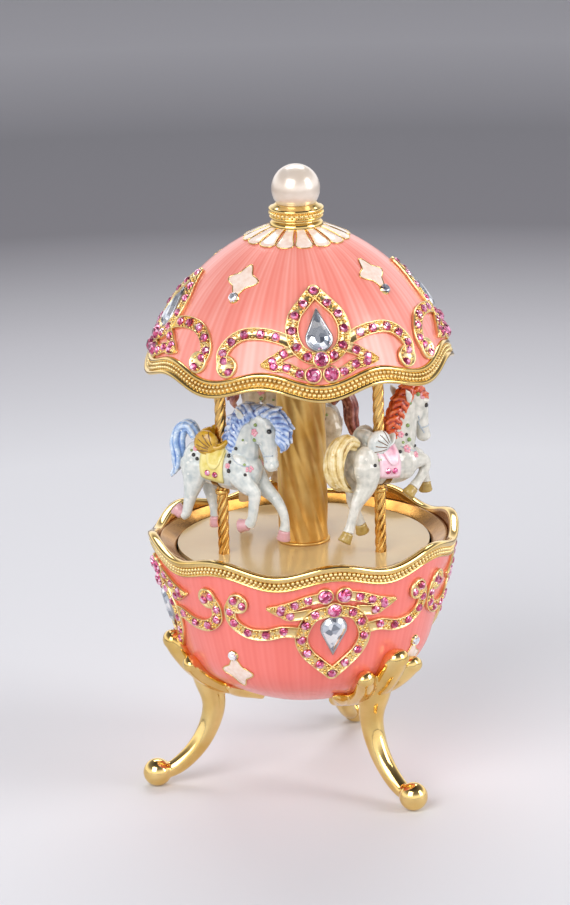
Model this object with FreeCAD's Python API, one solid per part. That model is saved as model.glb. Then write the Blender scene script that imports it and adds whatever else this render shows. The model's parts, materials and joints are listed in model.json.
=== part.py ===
"""Carousel music box: an enamelled egg on three legs whose carousel turns while the movement plays.

Millimetres. +Z is up, the floor is z = 0 and the egg's axis is the Z axis. An azimuth is measured
from the front (-Y) towards the right (+X).
"""
import FreeCAD, Part
import math
import os
from FreeCAD import Vector

# Driving dimensions: the egg
bowl_bottom_z = 22.0
bowl_height = 44.1
bowl_bottom_arc = 45.0
bowl_knuckle_arc = 16.0
bowl_knuckle_angle = 35.0
bowl_wall_angle = 17.0
bowl_wall_arc = 240.0
wall = 1.4
rim_waves = 8
bowl_wave = 1.34
dome_wave = 1.44
opening_height = 47.6
dome_arc = 48.9
dome_arc_offset = 9.52
dome_arc_drop = 12.0
band_height = 4.3
band_proud = 1.1
lip_cover = 0.5
pearl_radius = 6.1

# Driving dimensions: the carousel
turntable_radius = 32.0
turntable_thick = 2.0
turntable_drop = 3.4
turntable_gap = 0.4
column_radius = 6.2
post_circle = 22.8
post_radius = 1.45
post_count = 3
carousel_rest = -13.2
dome_rest = -2.7
horse_height = 22.6
ceiling_thick = 1.5

# Driving dimensions: the legs
leg_azimuths = (-90.0, 30.0, 150.0)
foot_circle = 39.6
foot_radius = 3.65
foot_flat = 0.12

# Driving dimensions: the movement
plate_radius = 28.4
plate_lift = 15.0
plate_thick = 2.5
top_plate_thick = 2.0
hub_height = 2.6
hub_radius = 8.0
spindle_radius = 2.0
winder_radius = 1.5
drum_radius = 10.4
gear_module = 0.6
fly_module = 0.5
great_teeth = 50
cylinder_teeth = 16
governor_teeth = 10
governor_wheel_teeth = 24
fly_teeth = 8
cylinder_radius = 5.4
cylinder_neck = 3.2
pin_height = 0.5
comb_notes = 18
governor_azimuth = -90.0
cylinder_azimuth = 90.0
fly_turn = 80.0

# Fits
run_fit = 0.05
fixed_fit = 0.02
gap = 0.5
overlap = 0.1

# Heights that follow from the driving dimensions
bowl_rim_z = bowl_bottom_z + bowl_height
turntable_z = bowl_rim_z - turntable_drop
turntable_under_z = turntable_z - turntable_thick
dome_rim_z = turntable_z + opening_height
dome_centre_z = dome_rim_z - dome_arc_drop
plate_z = bowl_bottom_z + plate_lift
plate_top_z = plate_z + plate_thick
hub_z = turntable_under_z - hub_height
bush_flange = 0.5
top_plate_top_z = hub_z - run_fit - bush_flange
top_plate_z = top_plate_top_z - top_plate_thick
ceiling_z = dome_rim_z + 1.9
AXIS = Vector(0, 0, 1)
ORIGIN = Vector(0, 0, 0)


def polar(radius, azimuth, z):
    """A point at a radius and an azimuth in degrees from the front."""
    a = math.radians(azimuth)
    return Vector(radius * math.sin(a), -radius * math.cos(a), z)


def disc(radius, z0, z1, x=0.0, y=0.0):
    return Part.makeCylinder(radius, z1 - z0, Vector(x, y, z0))


def tube(outer, inner, z0, z1):
    return disc(outer, z0, z1).cut(disc(inner, z0 - 1, z1 + 1))


def turned(points):
    """A solid of revolution from (radius, z) corners."""
    corners = [Vector(r, 0, z) for r, z in points]
    return Part.Face(Part.makePolygon(corners + corners[:1])).revolve(ORIGIN, AXIS, 360)


def about_axis(shape, azimuth):
    """A copy of a shape made at azimuth 90 (along +X) and turned to another azimuth."""
    copy = shape.copy()
    copy.rotate(ORIGIN, AXIS, azimuth - 90.0)
    return copy


def fused(shapes):
    return shapes[0].multiFuse(shapes[1:]) if len(shapes) > 1 else shapes[0]


def closed_spline(points):
    curve = Part.BSplineCurve()
    curve.interpolate(Points=points, PeriodicFlag=True)
    return curve.toShape()


def sweep_tube(path, laterals, corners=8):
    """A loft through ellipses: each path entry is (centre, radius across, radius along its lateral)."""
    wires = []
    last = len(path) - 1
    for i, (centre, across, sideways) in enumerate(path):
        tangent = path[min(i + 1, last)][0] - path[max(i - 1, 0)][0]
        tangent.normalize()
        side = laterals[i] - tangent * laterals[i].dot(tangent)
        side.normalize()
        normal = side.cross(tangent)
        ring = []
        for k in range(corners):
            a = 2 * math.pi * k / corners
            ring.append(centre + normal * (across * math.cos(a)) + side * (sideways * math.sin(a)))
        wires.append(Part.Wire([closed_spline(ring)]))
    return Part.makeLoft(wires, True, False)


# Profiles of the egg
knuckle_centre = (
    (bowl_bottom_arc - bowl_knuckle_arc) * math.sin(math.radians(bowl_knuckle_angle)),
    bowl_bottom_z + bowl_bottom_arc
    - (bowl_bottom_arc - bowl_knuckle_arc) * math.cos(math.radians(bowl_knuckle_angle)))
wall_centre = (
    knuckle_centre[0] - (bowl_wall_arc - bowl_knuckle_arc) * math.cos(math.radians(bowl_wall_angle)),
    knuckle_centre[1] + (bowl_wall_arc - bowl_knuckle_arc) * math.sin(math.radians(bowl_wall_angle)))


def arc_point(centre, radius, angle):
    """A point on an arc, its angle measured in degrees up from the horizontal."""
    a = math.radians(angle)
    return Vector(centre[0] + radius * math.cos(a), 0, centre[1] + radius * math.sin(a))


def bowl_radius(z, inset=0.0):
    """Outer radius of the bowl at a height, less an inset."""
    knuckle_top = knuckle_centre[1] - bowl_knuckle_arc * math.sin(math.radians(bowl_wall_angle))
    knuckle_low = knuckle_centre[1] - bowl_knuckle_arc * math.cos(math.radians(bowl_knuckle_angle))
    if z >= knuckle_top:
        return wall_centre[0] + math.sqrt((bowl_wall_arc - inset) ** 2 - (z - wall_centre[1]) ** 2)
    if z >= knuckle_low:
        return knuckle_centre[0] + math.sqrt((bowl_knuckle_arc - inset) ** 2 - (z - knuckle_centre[1]) ** 2)
    drop = bowl_bottom_z + bowl_bottom_arc - z
    return math.sqrt(max((bowl_bottom_arc - inset) ** 2 - drop ** 2, 0.0))


def bowl_solid(inset, top):
    """The filled bowl, inset from its outer face, up to a height."""
    centres = ((0.0, bowl_bottom_z + bowl_bottom_arc), knuckle_centre, wall_centre)
    radii = (bowl_bottom_arc - inset, bowl_knuckle_arc - inset, bowl_wall_arc - inset)
    end = -math.degrees(math.asin((wall_centre[1] - top) / radii[2]))
    angles = (-90.0, bowl_knuckle_angle - 90.0, -bowl_wall_angle, end)
    edges = []
    for i in range(3):
        stops = (angles[i], (angles[i] + angles[i + 1]) / 2, angles[i + 1])
        edges.append(Part.Arc(*[arc_point(centres[i], radii[i], a) for a in stops]).toShape())
    start = edges[0].Vertexes[0].Point
    finish = edges[-1].Vertexes[-1].Point
    edges.append(Part.makePolygon([finish, Vector(0, 0, top), start]))
    wire = Part.Wire(Part.__sortEdges__([e for part in edges for e in part.Edges]))
    return Part.Face(wire).revolve(ORIGIN, AXIS, 360)


def dome_radius(z, inset=0.0):
    return math.sqrt((dome_arc - inset) ** 2 - (z - dome_centre_z) ** 2) - dome_arc_offset


def dome_height(radius, inset=0.0):
    return dome_centre_z + math.sqrt((dome_arc - inset) ** 2 - (radius + dome_arc_offset) ** 2)


def dome_solid(inset, low):
    """The filled dome, inset from its outer face, from a height up to its tip."""
    radius = dome_arc - inset
    centre = (-dome_arc_offset, dome_centre_z)
    first = math.degrees(math.asin((low - dome_centre_z) / radius))
    tip = math.degrees(math.acos(dome_arc_offset / radius))
    stops = (first, (first + tip) / 2, tip)
    arc = Part.Arc(*[arc_point(centre, radius, a) for a in stops]).toShape()
    start = arc.Vertexes[0].Point
    finish = arc.Vertexes[-1].Point
    closing = Part.makePolygon([finish, Vector(0, 0, low), start])
    wire = Part.Wire(Part.__sortEdges__(arc.Edges + closing.Edges))
    return Part.Face(wire).revolve(ORIGIN, AXIS, 360)


def wavy_ring(section, wave, samples=64):
    """A ring whose section corners (radius rule of z, z) all ride one wave round the egg."""
    edges = []
    for rule, z in section:
        points = []
        for k in range(samples):
            azimuth = 360.0 * k / samples
            height = z + wave * math.cos(math.radians(rim_waves * azimuth))
            points.append(polar(rule(height), azimuth, height))
        edges.append(closed_spline(points))
    faces = [Part.makeRuledSurface(a, b) for a, b in zip(edges, edges[1:] + edges[:1])]
    shell = Part.makeShell(faces)
    shell.sewShape()
    solid = Part.makeSolid(Part.Shell(shell.Faces))
    return solid


def gear(module, teeth, z0, z1, x=0.0, y=0.0, phase=0.0):
    """A spur gear with straight-sided facets on involute flanks, thinned for backlash."""
    pressure = math.radians(25.0)
    pitch = module * teeth / 2
    base = pitch * math.cos(pressure)
    tip = pitch + 0.8 * module
    root = pitch - 1.1 * module
    thin = 0.16 * module
    half = math.pi / (2 * teeth) - thin / (2 * pitch)
    inv_pitch = math.tan(pressure) - pressure
    flank = []
    foot = max(root, base)
    for k in range(4):
        r = foot + (tip - foot) * k / 3
        roll = math.acos(min(base / r, 1.0))
        flank.append((r, half + inv_pitch - (math.tan(roll) - roll)))
    if root < foot:
        flank.insert(0, (root, flank[0][1]))
    points = []
    for n in range(teeth):
        middle = math.radians(phase) + 2 * math.pi * n / teeth
        outline = [(r, middle - a) for r, a in flank] + [(r, middle + a) for r, a in reversed(flank)]
        points += [Vector(x + r * math.cos(a), y + r * math.sin(a), z0) for r, a in outline]
    return Part.Face(Part.makePolygon(points + points[:1])).extrude(Vector(0, 0, z1 - z0))


def mesh_phase(first_teeth, first_phase, second_teeth, direction):
    """The phase in degrees that puts a gap of the second gear on the first gear's tooth."""
    pitch_one = 360.0 / first_teeth
    pitch_two = 360.0 / second_teeth
    along = ((direction - first_phase) / pitch_one) % 1.0
    return direction + 180.0 - pitch_two * (0.5 - along)


def screw(head_radius, head_height, shank_radius, shank_length, slot=True):
    """A cheese-head screw with its head on z = 0 and its shank pointing down."""
    body = disc(head_radius, 0, head_height).fuse(disc(shank_radius, -shank_length, 0.1))
    if slot:
        width = head_radius * 0.35
        depth = head_height * 0.45
        cutter = Part.makeBox(4 * head_radius, width, depth + 1,
                              Vector(-2 * head_radius, -width / 2, head_height - depth))
        body = body.cut(cutter)
    return body


nodes = {}

# The bowl: a cast shell with a waved edge, a seat for the bezel and three bosses for the bedplate
bowl_outside = bowl_solid(0.0, bowl_rim_z + 3)
bowl_inside = bowl_solid(wall, bowl_rim_z + 4)
knob_hole = 9.0
seat_z = turntable_under_z - 1.1
seat_radius = bowl_radius(seat_z, wall) + 0.7
boss_circle = plate_radius - 2.6
boss_radius = 2.6
boss_azimuths = (110.0, 230.0, 350.0)
bedplate_screw = 0.9

bosses = []
for azimuth in boss_azimuths:
    spot = polar(boss_circle, azimuth, 0)
    boss = disc(boss_radius, bowl_bottom_z + 2, plate_z, spot.x, spot.y)
    bosses.append(boss.common(bowl_outside))
bowl = fused([bowl_outside.cut(bowl_inside)] + bosses)
bowl = bowl.cut(disc(knob_hole, bowl_bottom_z - 1, bowl_bottom_z + 6))
bowl = bowl.cut(disc(seat_radius, seat_z, bowl_rim_z + 5))
mouth = wavy_ring([(lambda z: turntable_radius - 6, bowl_rim_z - lip_cover),
                   (lambda z: bowl_radius(z) + 8, bowl_rim_z - lip_cover),
                   (lambda z: bowl_radius(z) + 8, bowl_rim_z + 8),
                   (lambda z: turntable_radius - 6, bowl_rim_z + 8)], bowl_wave)
bowl = bowl.cut(mouth)

# The bowl's rim: a waved gold band round the outside with a lip over the cast edge
bowl_band = wavy_ring([(lambda z: bowl_radius(z) - 0.9, bowl_rim_z - band_height),
                       (lambda z: bowl_radius(z) + 0.5, bowl_rim_z - band_height),
                       (lambda z: bowl_radius(z) + band_proud * 0.8, bowl_rim_z - band_height * 0.8),
                       (lambda z: bowl_radius(z) + band_proud * 0.8, bowl_rim_z - band_height * 0.4),
                       (lambda z: bowl_radius(z) + band_proud, bowl_rim_z - band_height * 0.25),
                       (lambda z: bowl_radius(z) + band_proud * 0.7, bowl_rim_z),
                       (lambda z: bowl_radius(z) - 0.9, bowl_rim_z)], bowl_wave)
bowl_band = bowl_band.cut(bowl)

# The bezel: a ring with a sloping inside face that frames the turntable
bezel_inner = turntable_radius + turntable_gap
bezel_outer = seat_radius - fixed_fit
bezel_top = bowl_rim_z - bowl_wave - lip_cover
bezel = turned([(bezel_inner, seat_z), (bezel_outer, seat_z), (bezel_outer, bezel_top),
                (bezel_outer - 0.6, bezel_top), (bezel_inner, turntable_z - 0.6)])
nodes["bezel_ring"] = bezel

# The legs: three cast cabriole legs with a shell of lobes against the bowl and a ball foot
attach_z = bowl_bottom_z + 9.0
drawn_bowl_bottom = 22.0
leg_drop = bowl_bottom_z / drawn_bowl_bottom
leg_line = [(bowl_radius(attach_z) - 0.4, attach_z, 3.0, 3.5),
            (bowl_radius(attach_z) - 2.0, attach_z - 3.6, 3.1, 3.4),
            (foot_circle - 16.0, 23.2 * leg_drop, 3.0, 3.2),
            (foot_circle - 15.9, 19.8 * leg_drop, 2.8, 2.9),
            (foot_circle - 14.4, 15.6 * leg_drop, 2.5, 2.6),
            (foot_circle - 12.2, 11.4 * leg_drop, 2.3, 2.4),
            (foot_circle - 9.2, 7.6 * leg_drop, 2.15, 2.2),
            (foot_circle - 5.6, 4.4 * leg_drop, 2.0, 2.1),
            (foot_circle - 1.8, 2.6, 1.7, 1.8)]
lobes = [[(0.0, 5.0, 2.6, 3.2), (0.0, 9.0, 3.1, 3.5), (0.0, 13.0, 3.0, 3.4), (0.0, 16.5, 3.0, 3.1),
          (0.0, 18.8, 2.2, 2.2), (0.0, 19.8, 0.9, 0.9)]]
for side in (-1, 1):
    lobes.append([(side * 2.0, 5.0, 2.2, 2.4), (side * 6.0, 8.0, 2.6, 2.8), (side * 9.6, 11.2, 2.7, 2.8),
                  (side * 12.4, 13.8, 2.4, 2.4), (side * 14.2, 15.4, 0.9, 0.9)])
    lobes.append([(side * 2.0, 4.8, 1.9, 2.0), (side * 11.0, 5.4, 2.3, 2.4), (side * 19.0, 6.2, 2.3, 2.4),
                  (side * 25.0, 7.0, 1.8, 1.8), (side * 28.0, 7.4, 0.7, 0.7)])


def leg_at(azimuth):
    outward = polar(1.0, azimuth, 0.0)
    lateral = polar(1.0, azimuth + 90.0, 0.0)
    stem = [(outward * r + AXIS * z, across, side) for r, z, across, side in leg_line]
    pieces = [sweep_tube(stem, [lateral] * len(stem))]
    for lobe in lobes:
        path = []
        for turn, lift, across, side in lobe:
            z = bowl_bottom_z + lift
            path.append((polar(bowl_radius(z) + 0.2, azimuth + turn, z), across, side))
        along = path[-1][0] - path[0][0]
        flat = along.cross(outward)
        pieces.append(sweep_tube(path, [flat] * len(path)))
    ball = Part.makeSphere(foot_radius, polar(foot_circle, azimuth, foot_radius - foot_flat))
    pieces.append(ball)
    leg = fused(pieces).cut(bowl_outside)
    leg = leg.cut(Part.makeBox(200, 200, 20, Vector(-100, -100, -20)))
    return max(leg.Solids, key=lambda s: s.Volume)


# Leg screws: from inside the bowl, square to its wall
screw_z = attach_z
screw_tilt = math.degrees(math.asin((knuckle_centre[1] - screw_z) / bowl_knuckle_arc))
leg_screw = 1.0
leg_screw_head = 2.0
leg_screw_length = 5.0


def on_leg_axis(shape, azimuth, depth):
    """Puts a shape made along z on the screw line of a leg, a depth in from the outer face."""
    copy = shape.copy()
    copy.rotate(ORIGIN, Vector(0, 1, 0), -(90.0 - screw_tilt))
    reach = bowl_knuckle_arc - depth
    spot = arc_point(knuckle_centre, reach, -screw_tilt)
    copy.translate(spot)
    return about_axis(copy, azimuth)


leg_names = ("leg_left", "leg_right", "leg_back")
leg_screws = []
spot_depth = wall + 0.25
for name, azimuth in zip(leg_names, leg_azimuths):
    hole = on_leg_axis(disc(leg_screw + fixed_fit, -leg_screw_length - fixed_fit, 4), azimuth, spot_depth)
    face = on_leg_axis(disc(leg_screw_head + 0.2, -0.5, 4), azimuth, spot_depth - 0.5)
    bowl = bowl.cut(hole).cut(face)
    nodes[name] = leg_at(azimuth).cut(hole)
    leg_screws.append(on_leg_axis(screw(leg_screw_head, 1.1, leg_screw, leg_screw_length), azimuth,
                                  spot_depth))
nodes["leg_screws"] = Part.makeCompound(leg_screws)

# The bedplate, the top plate and the pillars between them
pillar_azimuths = (180.0, 315.0, 45.0)
pillar_circle = plate_radius - 3.2
pillar_radius = 1.9
pillar_screw = 0.9
pivot = 0.75
pivot_end = 0.3
great_pitch = gear_module * great_teeth / 2
cylinder_pitch = gear_module * cylinder_teeth / 2
governor_pitch = gear_module * governor_teeth / 2
wheel_pitch = fly_module * governor_wheel_teeth / 2
fly_pitch = fly_module * fly_teeth / 2
cylinder_at = polar(great_pitch + cylinder_pitch, cylinder_azimuth, 0)
governor_at = polar(great_pitch + governor_pitch, governor_azimuth, 0)
fly_at = governor_at + polar(wheel_pitch + fly_pitch, governor_azimuth + fly_turn, 0)


def pivot_rod(spot):
    """An upright arbor whose ends run in holes in both plates."""
    return disc(pivot, plate_z + pivot_end, top_plate_top_z - pivot_end, spot.x, spot.y)


bedplate = disc(plate_radius, plate_z, plate_top_z)
top_plate = disc(plate_radius, top_plate_z, top_plate_top_z)
bedplate = bedplate.cut(disc(winder_radius + run_fit, plate_z - 1, plate_top_z + 1))
bush_radius = spindle_radius + 1.5
top_plate = top_plate.cut(disc(bush_radius + fixed_fit, top_plate_z - 1, top_plate_top_z + 1))
for spot in (cylinder_at, governor_at, fly_at):
    bedplate = bedplate.cut(disc(pivot + run_fit, plate_z - 1, plate_top_z + 1, spot.x, spot.y))
    top_plate = top_plate.cut(disc(pivot + run_fit, top_plate_z - 1, top_plate_top_z + 1, spot.x, spot.y))

pillars = []
pillar_screws = []
for azimuth in pillar_azimuths:
    spot = polar(pillar_circle, azimuth, 0)
    tenon = pillar_radius * 0.6
    pillar = disc(pillar_radius, plate_top_z, top_plate_z, spot.x, spot.y)
    pillar = pillar.fuse(disc(tenon, plate_z, plate_top_z, spot.x, spot.y))
    thread = disc(pillar_screw + fixed_fit, top_plate_z - 4.1, top_plate_top_z + 1, spot.x, spot.y)
    pillars.append(pillar.cut(thread))
    bedplate = bedplate.cut(disc(tenon + fixed_fit, plate_z - 1, plate_top_z + 1, spot.x, spot.y))
    top_plate = top_plate.cut(thread)
    fastener = screw(1.7, 0.9, pillar_screw, top_plate_thick + 4.0)
    pillar_screws.append(fastener.translated(spot + AXIS * top_plate_top_z))
nodes["pillars"] = Part.makeCompound(pillars)
nodes["pillar_screws"] = Part.makeCompound(pillar_screws)

plate_screws = []
for azimuth in boss_azimuths:
    spot = polar(boss_circle, azimuth, 0)
    length = plate_thick + 4.5
    thread = disc(bedplate_screw + fixed_fit, plate_top_z - length - 0.1, plate_top_z + 1, spot.x, spot.y)
    bedplate = bedplate.cut(thread)
    bowl = bowl.cut(thread)
    fastener = screw(1.6, 0.9, bedplate_screw, length)
    plate_screws.append(fastener.translated(spot + AXIS * plate_top_z))
nodes["bedplate_screws"] = Part.makeCompound(plate_screws)
nodes["bowl_shell"] = bowl
nodes["bowl_rim"] = bowl_band

bush = tube(bush_radius, spindle_radius + run_fit, top_plate_z, hub_z - run_fit)
bush = bush.fuse(tube(bush_radius + 1.6, spindle_radius + run_fit, top_plate_top_z, hub_z - run_fit))
nodes["spindle_bush"] = bush
nodes["top_plate"] = top_plate

# The spring barrel with its great wheel, its cover and the coiled mainspring
great_low = plate_top_z + 1.4
great_high = great_low + 2.0
drum_top = top_plate_z - 1.4
drum_wall = 0.9
cover_thick = 1.4
spring_clear = 0.4
great_phase = 0.0
barrel = gear(gear_module, great_teeth, great_low, great_high, phase=great_phase)
barrel = barrel.fuse(disc(drum_radius, great_high - overlap, drum_top))
barrel = barrel.cut(disc(drum_radius - drum_wall, great_high, drum_top + 1))
barrel = barrel.cut(disc(winder_radius + run_fit, great_low - 1, great_high + 1))
cover = tube(drum_radius - drum_wall - fixed_fit, spindle_radius + fixed_fit, drum_top - cover_thick,
             drum_top)
nodes["spring_barrel"] = barrel
nodes["barrel_cover"] = cover

spring_thick = 0.35
spring_step = 0.75
spring_turns = 7
spring_start = drum_radius - drum_wall - 0.15 - spring_thick


def coil_arc(index, radius):
    """One half turn of the coil: the centres alternate so that the half turns join smoothly."""
    centre = Vector(-spring_step / 2 if index % 2 else 0.0, 0, great_high + spring_clear)
    sign = 1 if index % 2 == 0 else -1
    ends = [centre + Vector(sign * radius, 0, 0), centre + Vector(0, sign * radius, 0),
            centre + Vector(-sign * radius, 0, 0)]
    return Part.Arc(*ends).toShape()


coil_outside = []
coil_inside = []
for index in range(2 * spring_turns):
    radius = spring_start - index * spring_step / 2
    coil_outside.append(coil_arc(index, radius + spring_thick))
    coil_inside.append(coil_arc(index, radius))
loop = coil_outside + coil_inside
loop.append(Part.makeLine(coil_outside[0].Vertexes[0].Point, coil_inside[0].Vertexes[0].Point))
loop.append(Part.makeLine(coil_outside[-1].Vertexes[-1].Point, coil_inside[-1].Vertexes[-1].Point))
coil_face = Part.Face(Part.Wire(Part.__sortEdges__(loop)))
spring_height = drum_top - cover_thick - great_high - 2 * spring_clear
nodes["mainspring"] = coil_face.extrude(Vector(0, 0, spring_height))

# The winder: an arbor from the barrel down through the bedplate to a recessed knob under the bowl
knob_low = bowl_bottom_z - 0.8
knob_disc_z = bowl_bottom_z + 2.3
knob_disc_top = knob_disc_z + 2.0
knob_radius = knob_hole - 1.0
arbor_top = drum_top - cover_thick - gap
arbor = disc(winder_radius, knob_disc_z, arbor_top)
knob = disc(knob_radius, knob_disc_z, knob_disc_top)
knob = knob.fuse(disc(3.2, knob_disc_top, knob_disc_top + 2.2))
bar = Part.makeBox(2 * knob_radius - 2.0, 3.0, knob_disc_z - knob_low + 0.1,
                   Vector(1.0 - knob_radius, -1.5, knob_low))
knob = knob.fuse(bar.common(disc(knob_radius, knob_low - 1, knob_disc_top)))
grip_count = 24
for k in range(grip_count):
    spot = polar(knob_radius + 0.25, 360.0 * k / grip_count, 0)
    knob = knob.cut(disc(0.55, knob_disc_z - 1, knob_disc_top + 1, spot.x, spot.y))
nodes["winding_knob"] = knob.cut(disc(winder_radius + fixed_fit, knob_disc_z, knob_disc_top + 4))
nodes["winding_arbor"] = arbor

# The one-way clutch cup on the underside of the bedplate keeps the spring from running back
clutch_low = plate_z - 5.0
clutch = tube(4.6, winder_radius + run_fit, clutch_low, plate_z)
clutch = clutch.cut(tube(3.7, 0.1, clutch_low + 1.0, plate_z - 0.8))
nodes["clutch_cup"] = clutch.fuse(tube(7.0, winder_radius + run_fit, plate_z - 0.8, plate_z))
nodes["bedplate"] = bedplate

# The music cylinder: a pinned barrel on an upright arbor, driven by the great wheel
cylinder_low = great_high + 1.0
cylinder_high = top_plate_z - 1.2
direction = cylinder_azimuth - 90.0
cylinder_phase = mesh_phase(great_teeth, great_phase, cylinder_teeth, direction)
cylinder = gear(gear_module, cylinder_teeth, great_low, great_high, cylinder_at.x, cylinder_at.y,
                cylinder_phase)
cylinder = cylinder.fuse(disc(cylinder_neck, great_high - overlap, cylinder_low + overlap, cylinder_at.x,
                              cylinder_at.y))
cylinder = cylinder.fuse(disc(cylinder_radius, cylinder_low, cylinder_high, cylinder_at.x, cylinder_at.y))
cylinder = cylinder.fuse(pivot_rod(cylinder_at))
note_step = (cylinder_high - cylinder_low - 1.0) / comb_notes
pins_per_note = 3
pins = []
for note in range(comb_notes):
    for k in range(pins_per_note):
        angle = 30.0 + 300.0 * ((note * 7 + k * 5 + note * k) % 23) / 23
        height = cylinder_low + 0.5 + note_step * (note + 0.5)
        root = cylinder_at + polar(cylinder_radius - 0.4, angle, height)
        pins.append(Part.makeCylinder(0.16, pin_height + 0.4, root, polar(1.0, angle, 0.0)))
nodes["music_cylinder"] = fused([cylinder] + pins)

# The comb: tuned steel teeth on a block that stands on the bedplate
comb_thick = 0.7
comb_tip = cylinder_radius + pin_height + gap
comb_back = comb_tip + 11.5
comb_root = comb_tip + 5.0
comb_x = cylinder_at.x
comb_y = cylinder_at.y
comb = Part.makeBox(comb_thick, comb_back - comb_root, cylinder_high - cylinder_low,
                    Vector(comb_x, comb_y + comb_root, cylinder_low))
teeth = []
for note in range(comb_notes):
    height = cylinder_low + 0.5 + note_step * note + note_step * 0.14
    teeth.append(Part.makeBox(comb_thick, comb_root - comb_tip + overlap, note_step * 0.72,
                              Vector(comb_x, comb_y + comb_tip, height)))
comb = fused([comb] + teeth)
block_width = 3.4
block = Part.makeBox(block_width, comb_back - comb_root - 1.6, cylinder_high - plate_top_z,
                     Vector(comb_x + comb_thick, comb_y + comb_root + 1.6, plate_top_z))
comb_screws = []
for share in (0.22, 0.78):
    height = cylinder_low + share * (cylinder_high - cylinder_low)
    seat = Vector(comb_x, comb_y + comb_root + 4.0, height)
    hole = Part.makeCylinder(0.7 + fixed_fit, 3.3, seat - Vector(0.1, 0, 0), Vector(1, 0, 0))
    comb = comb.cut(hole)
    block = block.cut(hole)
    fastener = screw(1.3, 0.8, 0.7, 3.0)
    fastener.rotate(ORIGIN, Vector(0, 1, 0), -90.0)
    comb_screws.append(fastener.translated(seat))
nodes["comb"] = comb
nodes["comb_block"] = block
nodes["comb_screws"] = Part.makeCompound(comb_screws)

# The governor: a wheel on a pinion, and the fly that it spins against the air
direction = governor_azimuth - 90.0
governor_phase = mesh_phase(great_teeth, great_phase, governor_teeth, direction)
governor_neck = 1.4
wheel_low = great_high + 1.2
wheel_high = wheel_low + 1.4
governor = gear(gear_module, governor_teeth, great_low, great_high, governor_at.x, governor_at.y,
                governor_phase)
governor = governor.fuse(disc(governor_neck, great_high - overlap, wheel_low + overlap, governor_at.x,
                              governor_at.y))
governor = governor.fuse(gear(fly_module, governor_wheel_teeth, wheel_low, wheel_high, governor_at.x,
                              governor_at.y, governor_phase))
governor = governor.fuse(pivot_rod(governor_at))
nodes["governor_wheel"] = governor

direction = governor_azimuth + fly_turn - 90.0
fly_phase = mesh_phase(governor_wheel_teeth, governor_phase, fly_teeth, direction)
fly = gear(fly_module, fly_teeth, wheel_low - 0.3, wheel_high + 0.3, fly_at.x, fly_at.y, fly_phase)
fly = fly.fuse(pivot_rod(fly_at))
vane_low = wheel_high + 1.0
vane_high = top_plate_z - 1.0
for turn in (0.0, 90.0):
    vane = Part.makeBox(6.6, 0.5, vane_high - vane_low, Vector(-3.3, -0.25, vane_low))
    vane.rotate(ORIGIN, AXIS, turn)
    fly = fly.fuse(vane.translated(fly_at))
nodes["fly"] = fly

# The spindle: turned by the barrel cover, it carries the hub and ties the carousel to the dome
collar_base = dome_height(6.0)
collar_top = collar_base + 4.4
pearl_centre = collar_top + math.sqrt(pearl_radius ** 2 - 2.6 ** 2)
peg = 0.8
spindle = disc(spindle_radius, arbor_top + gap, collar_top - 1.6)
spindle = spindle.fuse(disc(peg, collar_top - 2.0, pearl_centre - 1.0))
nodes["spindle"] = spindle
hub = tube(hub_radius, spindle_radius + fixed_fit, hub_z, turntable_under_z)
nodes["drive_hub"] = hub

turntable = tube(turntable_radius, spindle_radius + fixed_fit, turntable_under_z, turntable_z)
ceiling_radius = dome_radius(ceiling_z + ceiling_thick, wall) - 0.1
ceiling = tube(ceiling_radius, spindle_radius + fixed_fit, ceiling_z, ceiling_z + ceiling_thick)

# The column: a hollow turned pillar with a flared foot and a cap
cap = 1.6
column = turned([(spindle_radius + fixed_fit, turntable_z), (column_radius + 0.9, turntable_z),
                 (column_radius + 0.9, turntable_z + 0.8), (column_radius, turntable_z + 2.4),
                 (column_radius - 0.2, (turntable_z + ceiling_z) / 2),
                 (column_radius, ceiling_z - 2.4), (column_radius + cap, ceiling_z - 0.8),
                 (column_radius + cap, ceiling_z), (spindle_radius + fixed_fit, ceiling_z)])
nodes["column"] = column

# Three posts with tenons in the turntable and in the ceiling
post_azimuths = [carousel_rest + 60.0 * (2 * k - 1) for k in range(post_count)]
tenon = 1.0
posts = []
for azimuth in post_azimuths:
    spot = polar(post_circle, azimuth, 0)
    post = disc(post_radius, turntable_z, ceiling_z, spot.x, spot.y)
    tenon_low = turntable_under_z + 0.3
    tenon_high = ceiling_z + ceiling_thick - 0.2
    post = post.fuse(disc(tenon, tenon_low, tenon_high, spot.x, spot.y))
    posts.append(post)
    turntable = turntable.cut(disc(tenon + fixed_fit, tenon_low, turntable_z + 1, spot.x, spot.y))
    ceiling = ceiling.cut(disc(tenon + fixed_fit, ceiling_z - 1, tenon_high, spot.x, spot.y))
for name, post in zip(("post_blue", "post_red", "post_brown"), posts):
    nodes[name] = post
nodes["turntable"] = turntable
nodes["ceiling_plate"] = ceiling

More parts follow.
